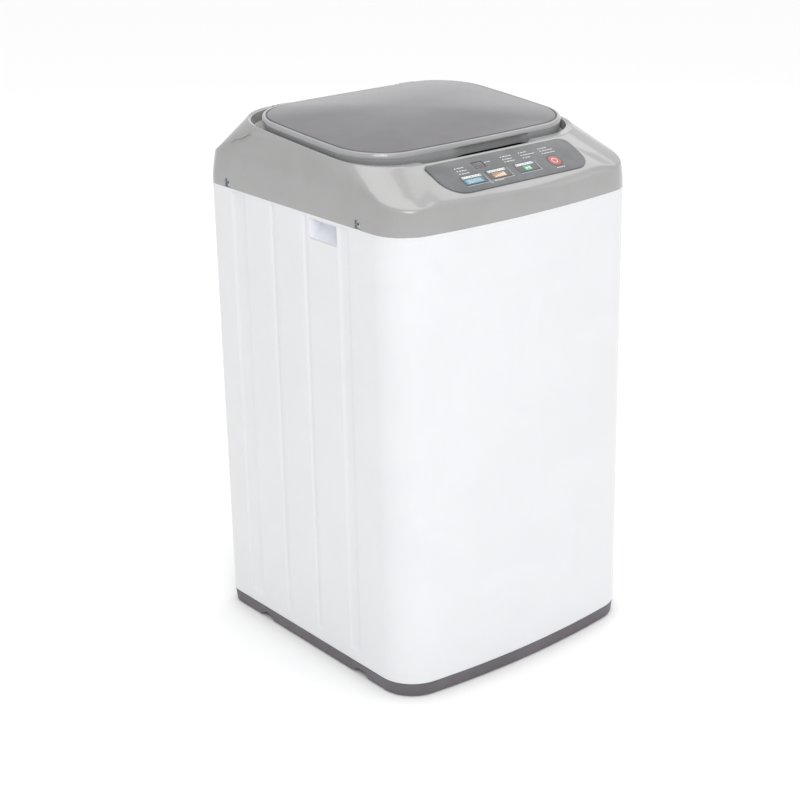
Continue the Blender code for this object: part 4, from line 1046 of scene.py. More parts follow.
def makeGrip(node, sx):
    low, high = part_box(node)
    y0, y1, z0, z1 = low.y, high.y, low.z, high.z
    outer = sx * (washer["half"] - 0.0010)
    depth = grips["lip"]

    def frameRing(x, margin, rise=0.0):
        ring = []
        corner = 0.0030
        for turn in range(4):
            for step in range(5):
                angle = math.pi / 2 * (turn + step / 4)
                cy = (y1 - margin - corner) if turn in (0, 3) else (y0 + margin + corner)
                cz = (z1 - margin - corner) if turn in (0, 1) else (z0 + margin + rise + corner)
                ring.append(Vector((x, cy + corner * math.cos(angle), cz + corner * math.sin(angle))))
        return ring

    back = outer - sx * (high.x - low.x - 0.0030)
    rings = [frameRing(outer - sx * 0.0016, 0.0), frameRing(outer - sx * 0.0004, 0.0),
             frameRing(outer, 0.0004), frameRing(outer, depth - 0.0004),
             frameRing(outer - sx * 0.0005, depth),
             frameRing(outer - sx * 0.0030, depth + 0.0003),
             frameRing(back + sx * 0.0030, depth + grips["taper"] * 0.8, grips["floorRise"] * 0.85),
             frameRing(back + sx * 0.0008, depth + grips["taper"], grips["floorRise"]),
             frameRing(back, depth + grips["taper"] + 0.0020, grips["floorRise"])]
    middle = sum(rings[-1], Vector()) / len(rings[-1])
    rings.append([middle] * len(rings[-1]))
    bm = bmesh.new()
    ringSkin(bm, rings)
    bmesh.ops.remove_doubles(bm, verts=bm.verts, dist=1e-6)
    bmesh.ops.recalc_face_normals(bm, faces=bm.faces)
    if sum(sx * face.normal.x * face.calc_area() for face in bm.faces) < 0.0:
        bmesh.ops.reverse_faces(bm, faces=bm.faces)
    tray = addPiece(bm, node + "_tray", "root", "gripPlastic", (node,), 45, tidy=False)
    return thicken(tray, grips["wall"])


for gripNode, gripSide in (("grip_left", -1), ("grip_right", 1)):
    makeGrip(gripNode, gripSide)
print("washer: grips")


# screws with a cross recess

def makeScrew(name, place, outward, radius=0.0032, finish="zincSteel"):
    bm = bmesh.new()
    bmesh.ops.create_circle(bm, cap_ends=True, segments=24, radius=radius)
    face = bm.faces[:][0]
    for height, share in ((0.0007, 1.0), (0.0004, 0.86), (0.00015, 0.62)):
        face = raiseFace(bm, face)
        bmesh.ops.translate(bm, vec=(0, 0, height), verts=face.verts[:])
        current = sum(v.co.xy.length for v in face.verts) / len(face.verts)
        bmesh.ops.scale(bm, vec=(radius * share / current, radius * share / current, 1), verts=face.verts[:])
    for step in (0, 1):
        face = raiseFace(bm, face)
        if step:
            bmesh.ops.translate(bm, vec=(0, 0, -0.0009), verts=face.verts[:])
            continue
        for corner in face.verts:
            angle = math.atan2(corner.co.y, corner.co.x) % (math.pi / 2)
            narrow = min(angle, math.pi / 2 - angle)
            reach = radius * (0.52 if narrow < 0.30 else 0.20)
            flat = corner.co.xy.normalized() * reach
            corner.co.x, corner.co.y = flat
    bmesh.ops.recalc_face_normals(bm, faces=bm.faces)
    turn = Vector(outward).to_track_quat("Z", "Y").to_matrix().to_4x4()
    bmesh.ops.transform(bm, matrix=Matrix.Translation(place) @ turn, verts=bm.verts)
    return addPiece(bm, name, "root", finish, (), 25)


def makeSideScrews():
    # the top frame is held by screws in small notches of its lower edge
    for sx in (-1, 1):
        for tag, y in (("rear", 0.172), ("front", -0.133)):
            side = "left" if sx < 0 else "right"
            height = topFrame["notch"][1] - 0.0006
            spot = (sx * (washer["half"] - 0.0031), y, height)
            makeScrew("frame_screw_%s_%s" % (side, tag), spot, (sx, 0, 0), 0.0031)
            bm = bmesh.new()
            bmesh.ops.create_cube(bm, size=1.0)
            bmesh.ops.scale(bm, vec=(0.0008, 0.0160, 0.0150), verts=bm.verts)
            bmesh.ops.translate(bm, vec=(sx * (washer["half"] - 0.0035), y, height - 0.0010), verts=bm.verts)
            softEdges(bm, bm.edges[:], 0.0002, 2)
            addPiece(bm, "frame_tab_%s_%s" % (side, tag), "root", "zincSteel")


makeSideScrews()
print("washer: screws")


# control panel: overlay film, keys, display and print, all laid out flat and then tipped onto the slope

panel = {
    "filmTop": 0.0013,
    "keyTop": 0.0016,
    "gap": 0.00045,
    "print": 0.00006,
    "keys": {"program_key": (-0.0720, -0.0105, 0.020, 0.0095), "level_key": (-0.0265, -0.0090, 0.019, 0.0095),
             "start_key": (0.0255, -0.0085, 0.019, 0.0095), "power_key": (0.0785, -0.0085, 0.0115, 0.0115)},
    "screen": (-0.0545, -0.0345, 0.0075, 0.0215),
    "overlay": ((0.132, 0.0335, 0.016), (-0.127, 0.0335, 0.005), (-0.127, -0.0325, 0.034),
                (0.132, -0.0325, 0.026)),
}


def overlayLoop(inset=0.0, steps=9):
    points = []
    for quarter, (x, y, radius) in enumerate(panel["overlay"]):
        cx = x + math.copysign(radius, 0.0025 - x)
        cy = y + math.copysign(radius, 0.0005 - y)
        for i in range(steps + 1):
            turn = math.pi / 2 * (quarter + i / steps)
            points.append((cx + (radius - inset) * math.cos(turn), cy + (radius - inset) * math.sin(turn)))
    return points


def padShape(bm, u, v, halfU, halfV, low, high, corner, edge=0.0, turn=0.0):
    # rounded pad standing on the slope: low and high are its heights
    made = bmesh.ops.create_grid(bm, x_segments=1, y_segments=1, size=0.5)["verts"]
    bmesh.ops.scale(bm, vec=(2 * halfU, 2 * halfV, 1), verts=made)
    place = Matrix.Translation((u, v, low)) @ Matrix.Rotation(turn, 4, "Z")
    bmesh.ops.transform(bm, matrix=place, verts=made)
    face = made[0].link_faces[0]
    if corner > 0:
        rounding = bmesh.ops.bevel(bm, geom=made, offset=min(corner, halfU * 0.98, halfV * 0.98), segments=5,
                                   affect="VERTICES", profile=0.5, material=-1)
        face = max(rounding["faces"] + [f for v in rounding["verts"] for f in v.link_faces],
                   key=lambda f: f.calc_area())
    top = raiseFace(bm, face)
    bmesh.ops.translate(bm, vec=(0, 0, high - low), verts=top.verts[:])
    if edge > 0:
        softEdges(bm, top.edges[:], edge, 3)


def onPanel(bm, name, body, finish, replaced=(), sharp=40.0):
    bmesh.ops.recalc_face_normals(bm, faces=bm.faces)
    bmesh.ops.transform(bm, matrix=onSlope, verts=bm.verts)
    return addPiece(bm, name, body, finish, replaced, sharp, tidy=False)


def discShape(bm, u, v, radius, low, high, edge=0.0, segments=32):
    made = bmesh.ops.create_circle(bm, cap_ends=True, segments=segments, radius=radius,
                                   matrix=Matrix.Translation((u, v, low)))["verts"]
    top = raiseFace(bm, made[0].link_faces[0])
    bmesh.ops.translate(bm, vec=(0, 0, high - low), verts=top.verts[:])
    if edge > 0:
        softEdges(bm, top.edges[:], edge, 3)


def addCutter(draw):
    bm = bmesh.new()
    draw(bm)
    bmesh.ops.transform(bm, matrix=onSlope, verts=bm.verts)
    return asCutter(bm)


def makeOverlay():
    bm = bmesh.new()
    levels = ((0.0006, 0.0002), (0.0, 0.0004), (0.0, 0.0009), (0.0002, 0.0012), (0.0006, panel["filmTop"]))
    rings = [[Vector((x, y, height)) for x, y in overlayLoop(inset)] for inset, height in levels]
    middle = Vector((0.0025, 0.0005, 0.0))
    lowMiddle = [middle + Vector((0, 0, 0.0002))] * len(rings[0])
    topMiddle = [middle + Vector((0, 0, panel["filmTop"]))] * len(rings[0])
    ringSkin(bm, [lowMiddle] + rings + [topMiddle])
    film = onPanel(bm, "control_film", "root", "overlayFilm", ("control_overlay",), 34)
    cutters = []
    for u, v, halfU, halfV in panel["keys"].values():
        if halfU == halfV:
            cutters.append(addCutter(lambda bm: discShape(bm, u, v, halfU, -0.004, 0.004, 0.0, 40)))
        else:
            cutters.append(addCutter(lambda bm: padShape(bm, u, v, halfU, halfV, -0.004, 0.004, 0.003)))
    left, right, low, high = panel["screen"]
    cutters.append(addCutter(lambda bm: padShape(bm, (left + right) / 2, (low + high) / 2, (right - left) / 2,
                                                 (high - low) / 2, -0.004, 0.004, 0.001)))
    cutAway(film, cutters)


def makeKeys():
    bodies = {"program_key": "program_button", "level_key": "level_button", "start_key": "start_button",
              "power_key": "power_button"}
    gap = panel["gap"]
    for node, (u, v, halfU, halfV) in panel["keys"].items():
        bm = bmesh.new()
        if halfU == halfV:
            discShape(bm, u, v, halfU - gap, -0.0032, panel["keyTop"], 0.0005, 48)
        else:
            padShape(bm, u, v, halfU - gap, halfV - gap, -0.0032, panel["keyTop"], 0.003 - gap, 0.0005)
        onPanel(bm, node + "_cap", bodies[node], "keyFilm", (node,), 34)


def printPiece(name, body, finish, draw, level):
    bm = bmesh.new()
    draw(bm, level, level + panel["print"])
    onPanel(bm, name, body, finish, (), 60)


def makeKeyPrint():
    top = panel["keyTop"]
    marks = (("program_key", "program_button", "bluePrint", -0.0010, 0.0155),
             ("level_key", "level_button", "orangePrint", -0.0005, 0.0115),
             ("start_key", "start_button", "greenPrint", 0.0, 0.0062))
    for node, body, finish, shift, halfMark in marks:
        u, v, halfU = panel["keys"][node][:3]

        def label(bm, low, high):
            padShape(bm, u, v + 0.0060, halfU - 0.0030, 0.0020, low, high, 0.0004)

        printPiece(node + "_label", body, "whitePrint", label, top)

        def dashes(bm, low, high):
            step = (2 * halfU - 0.0100) / 6
            for k in range(7):
                width = 0.0012 if k % 3 else 0.0017
                padShape(bm, u - halfU + 0.0050 + step * k, v + 0.0060, width, 0.0006, low, high, 0.0003)

        printPiece(node + "_label_dashes", body, "keyFilm", dashes, top + panel["print"])

        def mark(bm, low, high):
            padShape(bm, u + shift, v - 0.0028, halfMark, 0.0046, low, high, 0.0010)

        printPiece(node + "_mark", body, finish, mark, top)

    def waves(bm, low, high):
        u, v = panel["keys"]["program_key"][:2]
        for row in (-1, 0, 1):
            for k in range(9):
                tilt = 1 if k % 2 else -1
                padShape(bm, u - 0.0120 + 0.00275 * k, v - 0.0028 + 0.0026 * row + 0.0006 * tilt, 0.00150,
                         0.00036, low, high, 0.0003, 0.0, 0.45 * tilt)

    def bars(bm, low, high):
        u, v = panel["keys"]["level_key"][:2]
        for k in range(5):
            tall = 0.0010 + 0.00055 * k
            padShape(bm, u - 0.0085 + 0.0040 * k, v - 0.0064 + tall, 0.0011, tall, low, high, 0.0003)

    def playMark(bm, low, high):
        u, v = panel["keys"]["start_key"][:2]
        made = bmesh.ops.create_circle(bm, cap_ends=True, segments=3, radius=0.0030,
                                       matrix=Matrix.Translation((u - 0.0018, v - 0.0028, low))
                                       @ Matrix.Rotation(-math.pi / 2, 4, "Z"))["verts"]
        top = raiseFace(bm, made[0].link_faces[0])
        bmesh.ops.translate(bm, vec=(0, 0, high - low), verts=top.verts[:])
        for k in (0, 1):
            padShape(bm, u + 0.0024 + 0.0020 * k, v - 0.0028, 0.0006, 0.0026, low, high, 0.0002)

    def powerMark(bm, low, high):
        u, v = panel["keys"]["power_key"][:2]
        for k in range(14):
            angle = math.pi / 2 + 0.55 + (2 * math.pi - 1.1) * k / 13
            padShape(bm, u + 0.0044 * math.cos(angle), v + 0.0044 * math.sin(angle), 0.0010, 0.00045, low,
                     high, 0.0003, 0.0, angle + math.pi / 2)
        padShape(bm, u, v + 0.0040, 0.00045, 0.0022, low, high, 0.0003)

    level = top + panel["print"]
    printPiece("program_key_waves", "program_button", "whitePrint", waves, level)
    printPiece("level_key_bars", "level_button", "whitePrint", bars, level)
    printPiece("start_key_symbol", "start_button", "whitePrint", playMark, level)
    u, v, radius = panel["keys"]["power_key"][:3]
    printPiece("power_key_face", "power_button", "redPrint",
               lambda bm, low, high: discShape(bm, u, v, radius - 0.0018, low, high, 0.0, 48), top)
    printPiece("power_key_symbol", "power_button", "whitePrint", powerMark, level)


def makeFilmPrint():
    # indicator lamps with a short dash beside each, and fine lines round the keys
    columns = ((-0.0853, ((-0.0700, 0.0160), (-0.0690, 0.0100), (-0.0685, 0.0040))),
               (0.0002, ((0.0195, 0.0200), (0.0165, 0.0142), (0.0180, 0.0092))),
               (0.0342, ((0.0480, 0.0205), (0.0590, 0.0147), (0.0470, 0.0092))),
               (0.0705, ((0.0860, 0.0203), (0.0935, 0.0150), (0.0940, 0.0095))))

    def lamps(bm, low, high):
        for left, rows in columns:
            for v in (row[1] for row in rows):
                discShape(bm, left, v, 0.00095, low, high + 0.0002, 0.0001, 16)

    def dashes(bm, low, high):
        for left, rows in columns:
            for right, v in rows:
                start = left + 0.0028
                parts = max(2, round((right - start) / 0.0048))
                step = (right - start) / parts
                for k in range(parts):
                    padShape(bm, start + step * (k + 0.5), v, step * 0.40, 0.00052, low, high, 0.0003)

    def outlines(bm, low, high):
        for node, (u, v, halfU, halfV) in panel["keys"].items():
            if node == "power_key":
                for k in range(4):
                    padShape(bm, u - 0.0060 + 0.0040 * k, v - 0.0150, 0.0014, 0.0006, low, high, 0.0003)
                continue
            padShape(bm, u + 0.0015, v - halfV - 0.0016, halfU, 0.00018, low, high, 0.0001)
            padShape(bm, u + halfU + 0.0016, v - 0.0015, 0.00018, halfV, low, high, 0.0001)

    def lockMark(bm, low, high):
        for k in range(18):
            angle = 2 * math.pi * k / 18
            u, v = -0.0493 + 0.0022 * math.cos(angle), -0.0228 + 0.0022 * math.sin(angle)
            padShape(bm, u, v, 0.00045, 0.00022, low, high, 0.0001, 0.0, angle + math.pi / 2)
        for k in range(4):
            padShape(bm, -0.0415 + 0.0044 * k, -0.0218, 0.0016, 0.00052, low, high, 0.0003)
        for k in range(3):
            padShape(bm, -0.0305 + 0.0038 * k, 0.0170, 0.0014, 0.0005, low, high, 0.0003)

    top = panel["filmTop"]
    printPiece("film_lamps", "root", "whitePrint", lamps, top)
    printPiece("film_dashes", "root", "whitePrint", dashes, top)
    printPiece("film_key_lines", "root", "whitePrint", outlines, top)
    printPiece("film_lock_mark", "root", "whitePrint", lockMark, top)


def makeDisplay():
    left, right, low, high = panel["screen"]
    u, v = (left + right) / 2, (low + high) / 2
    halfU, halfV = (right - left) / 2 - panel["gap"], (high - low) / 2 - panel["gap"]
    bm = bmesh.new()
    padShape(bm, u, v, halfU, halfV, -0.0028, 0.0008, 0.0006, 0.0002)
    onPanel(bm, "display_lens", "root", "displaySmoke", ("display_window",), 40)

    def segments(bm, low, high):
        for digit in (-1, 1):
            middle = u + digit * 0.0042
            for side in (-1, 1):
                for up in (-1, 1):
                    padShape(bm, middle + side * 0.0024, v + up * 0.0022, 0.00032, 0.0016, low, high, 0.0002)
            for level in (-1, 0, 1):
                padShape(bm, middle, v + level * 0.0044, 0.0017, 0.00032, low, high, 0.0002)

    printPiece("display_segments", "root", "basePlastic", segments, 0.0008)


makeOverlay()
makeKeys()
makeKeyPrint()
makeFilmPrint()
makeDisplay()
print("washer: control panel")


# rear of the machine: pressed cover with its two pockets, fittings and screws

rear = {
    "half": 0.188,
    "foot": washer["baseTop"] + 0.016,
    "top": washer["cabinetTop"] - 0.004,
    "plane": washer["rear"] - 0.0022,
    "pocketDepth": 0.0290,
    "pockets": ((0.078, 0.132, 0.632, 0.672), (-0.150, -0.104, 0.062, 0.108)),
    "beads": (0.150, 0.610, 0.0105),     # foot, head and half width of the tall pressed beads
    "beadPlaces": (-0.150, -0.112, 0.112, 0.150),
    "louvres": (-0.066, 0.066, 0.150, 0.330, 9),
    "inlet": (0.105, 0.652),
    "drain": (-0.127, 0.085),
    "cord": (0.150, 0.090),
}


def edgeMarks(marks, low, high, ramp, steps=4):
    # columns that let a ramp start and end cleanly at both sides of a pressed shape
    for k in range(steps + 1):
        marks.add(round(low + ramp * k / steps, 5))
        marks.add(round(high - ramp * k / steps, 5))


def fillMarks(marks, low, high, step):
    count = int((high - low) / step)
    for k in range(count + 1):
        spot = round(low + (high - low) * k / count, 5)
        if all(abs(spot - mark) > 0.0028 for mark in marks):
            marks.add(spot)
    return sorted(marks)


def inside(value, low, high, ramp):
    return ease((value - low) / ramp) * ease((high - value) / ramp)


def rearDepth(x, z):
    # how far the cover lies behind its plane: pockets deep, beads and louvres a little proud
    for x0, x1, z0, z1 in rear["pockets"]:
        share = inside(x, x0, x1, 0.0014) * inside(z, z0, z1, 0.0014)
        if share > 0.0:
            return rear["pocketDepth"] * share
    low, high, halfWide = rear["beads"]
    for middle in rear["beadPlaces"]:
        share = inside(x, middle - halfWide, middle + halfWide, 0.006) * inside(z, low, high, 0.012)
        if share > 0.0:
            return 0.0030 * share
    left, right, low, high, count = rear["louvres"]
    pitch = (high - low) / count
    if left < x < right and low < z < high:
        along = (z - low) % pitch
        share = ease(along / 0.0010) * (1.0 - ease((along - 0.0010) / 0.0095))
        return -0.0019 * share * inside(x, left, right, 0.008)
    return 0.0


def makeRearCover():
    xMarks = {-rear["half"], rear["half"], -rear["half"] + 0.002, rear["half"] - 0.002}
    zMarks = {rear["foot"], rear["top"], rear["foot"] + 0.002, rear["top"] - 0.002}
    for x0, x1, z0, z1 in rear["pockets"]:
        edgeMarks(xMarks, x0, x1, 0.0014)
        edgeMarks(zMarks, z0, z1, 0.0014)
    low, high, halfWide = rear["beads"]
    for middle in rear["beadPlaces"]:
        edgeMarks(xMarks, middle - halfWide, middle + halfWide, 0.006)
    edgeMarks(zMarks, low, high, 0.012)
    left, right, low, high, count = rear["louvres"]
    edgeMarks(xMarks, left, right, 0.008)
    for k in range(count):
        for share in (0.0, 0.0005, 0.0010, 0.0030, 0.0055, 0.0080, 0.0105):
            zMarks.add(round(low + (high - low) * k / count + share, 5))
    columns = fillMarks(xMarks, -rear["half"], rear["half"], 0.012)
    rows = fillMarks(zMarks, rear["foot"], rear["top"], 0.016)

    def place(column, row):
        x, z = columns[column], rows[row]
        past = max(abs(x) - rear["half"], rear["foot"] - z, z - rear["top"])
        fold = max(past + 0.002, 0.0) / 0.002
        return Vector((x, rear["plane"] - rearDepth(x, z) - 0.0012 * fold ** 2, z))

    bm = bmesh.new()
    skin(bm, len(columns) - 1, len(rows) - 1, place)
    bmesh.ops.recalc_face_normals(bm, faces=bm.faces)
    if sum(face.normal.y * face.calc_area() for face in bm.faces) < 0.0:
        bmesh.ops.reverse_faces(bm, faces=bm.faces)
    cover = addPiece(bm, "rear_cover", "root", "enamel", ("rear_panel",), 32, tidy=False)
    thicken(cover, 0.0010)


def turnedAlongY(name, profile, x, z, finish, replaced=(), steps=48, body="root"):
    # (radius, distance along Y) points turned about an axis that runs front to rear
    bm = bmesh.new()
    lathe(bm, [(radius, -y) for radius, y in profile], steps)
    bmesh.ops.rotate(bm, verts=bm.verts, cent=(0, 0, 0), matrix=Matrix.Rotation(math.pi / 2, 3, "X"))
    bmesh.ops.translate(bm, vec=(x, 0, z), verts=bm.verts)
    return addPiece(bm, name, body, finish, replaced, 34)


def makeFittings():
    end = washer["rear"] - 0.004
    x, z = rear["inlet"]
    thread = [(0.0085, end - 0.0004), (0.0090, end), (0.0118, end), (0.0124, end - 0.0006)]
    for k in range(8):
        y = end - 0.0010 - 0.0018 * k
        thread += [(0.0132, y - 0.0002), (0.0132, y - 0.0005), (0.0120, y - 0.0010), (0.0120, y - 0.0014)]
    thread += [(0.0120, end - 0.0168), (0.0132, end - 0.0172), (0.0132, end - 0.0270), (0.0085, end - 0.0270)]
    turnedAlongY("inlet_spigot", thread, x, z, "naturalPlastic", ("inlet_valve",))
    turnedAlongY("inlet_sieve", [(0.0002, end - 0.0060), (0.0020, end - 0.0052), (0.0082, end - 0.0060),
                                 (0.0086, end - 0.0052), (0.0086, end - 0.0072), (0.0002, end - 0.0072)],
                 x, z, "bluePrint")
    bm = bmesh.new()
    made = bmesh.ops.create_circle(bm, cap_ends=True, segments=6, radius=0.0166)["verts"]
    raised = bmesh.ops.extrude_face_region(bm, geom=[made[0].link_faces[0]])["geom"]
    lifted = [part for part in raised if isinstance(part, bmesh.types.BMVert)]
    bmesh.ops.translate(bm, vec=(0, 0, 0.0045), verts=lifted)
    softEdges(bm, bm.edges[:], 0.0006, 2)
    bmesh.ops.rotate(bm, verts=bm.verts, cent=(0, 0, 0), matrix=Matrix.Rotation(-math.pi / 2, 3, "X"))
    bmesh.ops.translate(bm, vec=(x, rear["plane"] - rear["pocketDepth"] + 0.0002, z), verts=bm.verts)
    addPiece(bm, "inlet_nut", "root", "blackPlastic", (), 30)
    bm = bmesh.new()
    bmesh.ops.create_cube(bm, size=1.0)
    bmesh.ops.scale(bm, vec=(0.038, 0.0210, 0.024), verts=bm.verts)
    bmesh.ops.translate(bm, vec=(x, 0.1885, z), verts=bm.verts)
    softEdges(bm, bm.edges[:], 0.0025, 4)
    addPiece(bm, "inlet_valve_body", "root", "naturalPlastic", (), 30)
    x, z = rear["drain"]
    barbs = [(0.0095, end), (0.0104, end)]
    for k in range(3):
        y = end - 0.0006 - 0.0052 * k
        barbs += [(0.0107, y), (0.0120, y - 0.0036), (0.0120, y - 0.0042), (0.0108, y - 0.0046)]
    barbs += [(0.0108, end - 0.0180), (0.0120, end - 0.0184), (0.0120, 0.1914), (0.0114, 0.1912),
              (0.0095, 0.1912)]
    turnedAlongY("drain_spigot", barbs, x, z, "blackPlastic", ("drain_outlet",))
    x, z = rear["cord"]
    face = washer["rear"] - 0.0002
    gland = [(0.0002, face - 0.0005), (0.0030, face - 0.0005), (0.0034, face - 0.0001), (0.0048, face),
             (0.0052, face - 0.0006), (0.0094, face - 0.0009), (0.0100, face - 0.0014),
             (0.0100, face - 0.0019), (0.0062, face - 0.0019), (0.0060, face - 0.0130),
             (0.0002, face - 0.0130)]
    turnedAlongY("cord_gland_cap", gland, x, z, "blackPlastic", ("cord_gland",))
    for number, (x, z) in enumerate(((-0.180, 0.050), (0.180, 0.050), (-0.180, 0.250), (0.180, 0.250),
                                     (-0.180, 0.450), (0.180, 0.450), (-0.180, 0.662), (0.180, 0.662),
                                     (-0.060, 0.664), (0.048, 0.664), (-0.060, 0.048), (0.060, 0.048))):
        makeScrew("rear_screw_%d" % number, (x, rear["plane"] - 0.0002, z), (0, 1, 0), 0.0036)


def makeLidSwitch():
    low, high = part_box("lid_switch")
    middle = (low + high) / 2
    bm = bmesh.new()
    bmesh.ops.create_cube(bm, size=1.0)
    bmesh.ops.scale(bm, vec=(high.x - low.x, high.y - low.y, high.z - low.z - 0.0040), verts=bm.verts)
    bmesh.ops.translate(bm, vec=(middle.x, middle.y, middle.z - 0.0020), verts=bm.verts)
    softEdges(bm, bm.edges[:], 0.0012, 3)
    addPiece(bm, "lid_switch_case", "root", "blackPlastic", ("lid_switch",), 30)
    bm = bmesh.new()
    lathe(bm, [(0, high.z), (0.0022, high.z), (0.0030, high.z - 0.0008), (0.0030, high.z - 0.0050),
               (0, high.z - 0.0050)], 24, (middle.x, middle.y, 0.0), closed=False)
    addPiece(bm, "lid_switch_plunger", "root", "whitePrint")


makeRearCover()
makeFittings()
makeLidSwitch()
print("washer: rear cover and fittings")


# basket, tub rim, agitator and lint filter

drum = {
    "radius": 0.1720,
    "wall": 0.0012,
    "foot": 0.193,
    "top": 0.596,
    "columns": 120,
    "rows": 34,
    "holeRadius": 0.0017,
    "ribEvery": 10,
    "ribDepth": 0.0022,
}


def makeBasket():
    foot, top = drum["foot"] + 0.0155, drum["top"] - 0.0002
    rows = [foot + (top - foot) * k / drum["rows"] for k in range(drum["rows"] + 1)]

    def place(column, row):
        turn = 2 * math.pi * (column % drum["columns"]) / drum["columns"]
        rib = 1.0 if column % drum["ribEvery"] == 0 else 0.0
        rib *= ease((row - 1) / 2) * ease((drum["rows"] - 1 - row) / 2)
        radius = drum["radius"] - 0.0004 - drum["ribDepth"] * rib
        return onCircle(radius, turn, rows[row])

    bm = bmesh.new()
    skin(bm, drum["columns"], drum["rows"], place)
    pitch = (top - foot) / drum["rows"]
    holes = []
    for corner in bm.verts:
        turn = math.atan2(corner.co.y, corner.co.x) % (2 * math.pi)
        column = round(turn / (2 * math.pi) * drum["columns"]) % drum["columns"]
        row = round((corner.co.z - foot) / pitch)
        clear = column % drum["ribEvery"] not in (0, 1, drum["ribEvery"] - 1)
        if clear and 1 < row < drum["rows"] - 1 and (column + row) % 2 == 0:
            holes.append(corner)
    bmesh.ops.remove_doubles(bm, verts=bm.verts, dist=1e-6)
    holes = [corner for corner in holes if corner.is_valid]
    bmesh.ops.bevel(bm, geom=holes, offset=drum["holeRadius"], segments=2, affect="VERTICES", profile=0.09,
                    material=-1)
    discArea = 3.2 * drum["holeRadius"] ** 2
    small = [face for face in bm.faces if face.calc_area() < discArea and len(face.verts) > 4]
    bmesh.ops.delete(bm, geom=small, context="FACES_ONLY")
    bmesh.ops.recalc_face_normals(bm, faces=bm.faces)
    if sum(face.normal.xy.dot(face.calc_center_median().xy) for face in bm.faces) < 0.0:
        bmesh.ops.reverse_faces(bm, faces=bm.faces)
    wall = addPiece(bm, "basket_wall", "basket", "stainless", ("wash_basket",), 60, tidy=False)
    thicken(wall, drum["wall"])
    inner, outer = drum["radius"] - 0.0016, drum["radius"] - 0.0003
    floor = drum["foot"]
    section = rounded([(inner, 0, floor + 0.0165), (inner, 0, floor + 0.0016), (0.0300, 0, floor + 0.0016),
                       (0.0300, 0, floor), (outer, 0, floor), (outer, 0, floor + 0.0165)],
                      [0, 0.0110, 0, 0, 0.0124, 0], 6)
    bm = bmesh.new()
    lathe(bm, [(spot.x, spot.z) for spot in section], 96)
    addPiece(bm, "basket_pan", "basket", "stainless", (), 34)


def roundedLathe(name, body, points, radii, finish, replaced=(), steps=120):
    section = rounded([(radius, 0, height) for radius, height in points], radii, 4, closed=True)
    bm = bmesh.new()
    lathe(bm, [(spot.x, spot.z) for spot in section], steps)
    return addPiece(bm, name, body, finish, replaced, 34)


def makeRims():
    top = drum["top"]
    # radius, height over the basket's top, corner radius
    ring = ((0.1750, 0.0260, 0.0030), (0.1750, 0.0003, 0.0008), (0.1712, 0.0003, 0),
            (0.1555, 0.0003, 0.0030), (0.1510, 0.0060, 0.0030), (0.1510, 0.0200, 0.0050),
            (0.1570, 0.0300, 0.0030), (0.1700, 0.0300, 0.0040))
    corners = [corner for radius, rise, corner in ring]
    roundedLathe("balance_ring_cap", "basket", [(radius, top + rise) for radius, rise, corner in ring],
                 corners, "naturalPlastic", ("balance_ring",))
    for k in range(12):
        turn = Matrix.Rotation(2 * math.pi * k / 12, 4, "Z")
        bm = bmesh.new()
        bmesh.ops.create_cube(bm, size=1.0)
        bmesh.ops.scale(bm, vec=(0.0010, 0.0220, 0.0080), verts=bm.verts)
        bmesh.ops.translate(bm, vec=(0.1512, 0, top + 0.0130), verts=bm.verts)
        softEdges(bm, bm.edges[:], 0.0004, 2)
        bmesh.ops.transform(bm, matrix=turn, verts=bm.verts)
        addPiece(bm, "balance_ring_pad_%d" % k, "basket", "naturalPlastic")
    rim = 0.606
    ring = ((0.1900, 0.0120, 0.0012), (0.1900, 0.0003, 0.0008), (0.1820, 0.0003, 0.0008),
            (0.1820, 0.0140, 0.0020), (0.1630, 0.0290, 0.0010), (0.1560, 0.0250, 0.0006),
            (0.1545, 0.0270, 0.0006), (0.1630, 0.0320, 0.0020), (0.1830, 0.0160, 0.0040))
    corners = [corner for radius, rise, corner in ring]
    roundedLathe("tub_splash_ring", "tub", [(radius, rim + rise) for radius, rise, corner in ring],
                 corners, "naturalPlastic", ("tub_ring",))


agitator = {
    "hubTop": 0.1946,
    "marks": ((0.0, 0.0398), (0.010, 0.0392), (0.018, 0.0370), (0.030, 0.0262), (0.045, 0.0185),
              (0.075, 0.0124), (0.110, 0.0104), (0.138, 0.0098), (0.1426, 0.0062), (0.1430, 0.0036)),
    "vanes": 4,
    "turn": 0.3,
    "swirl": 0.22,
}


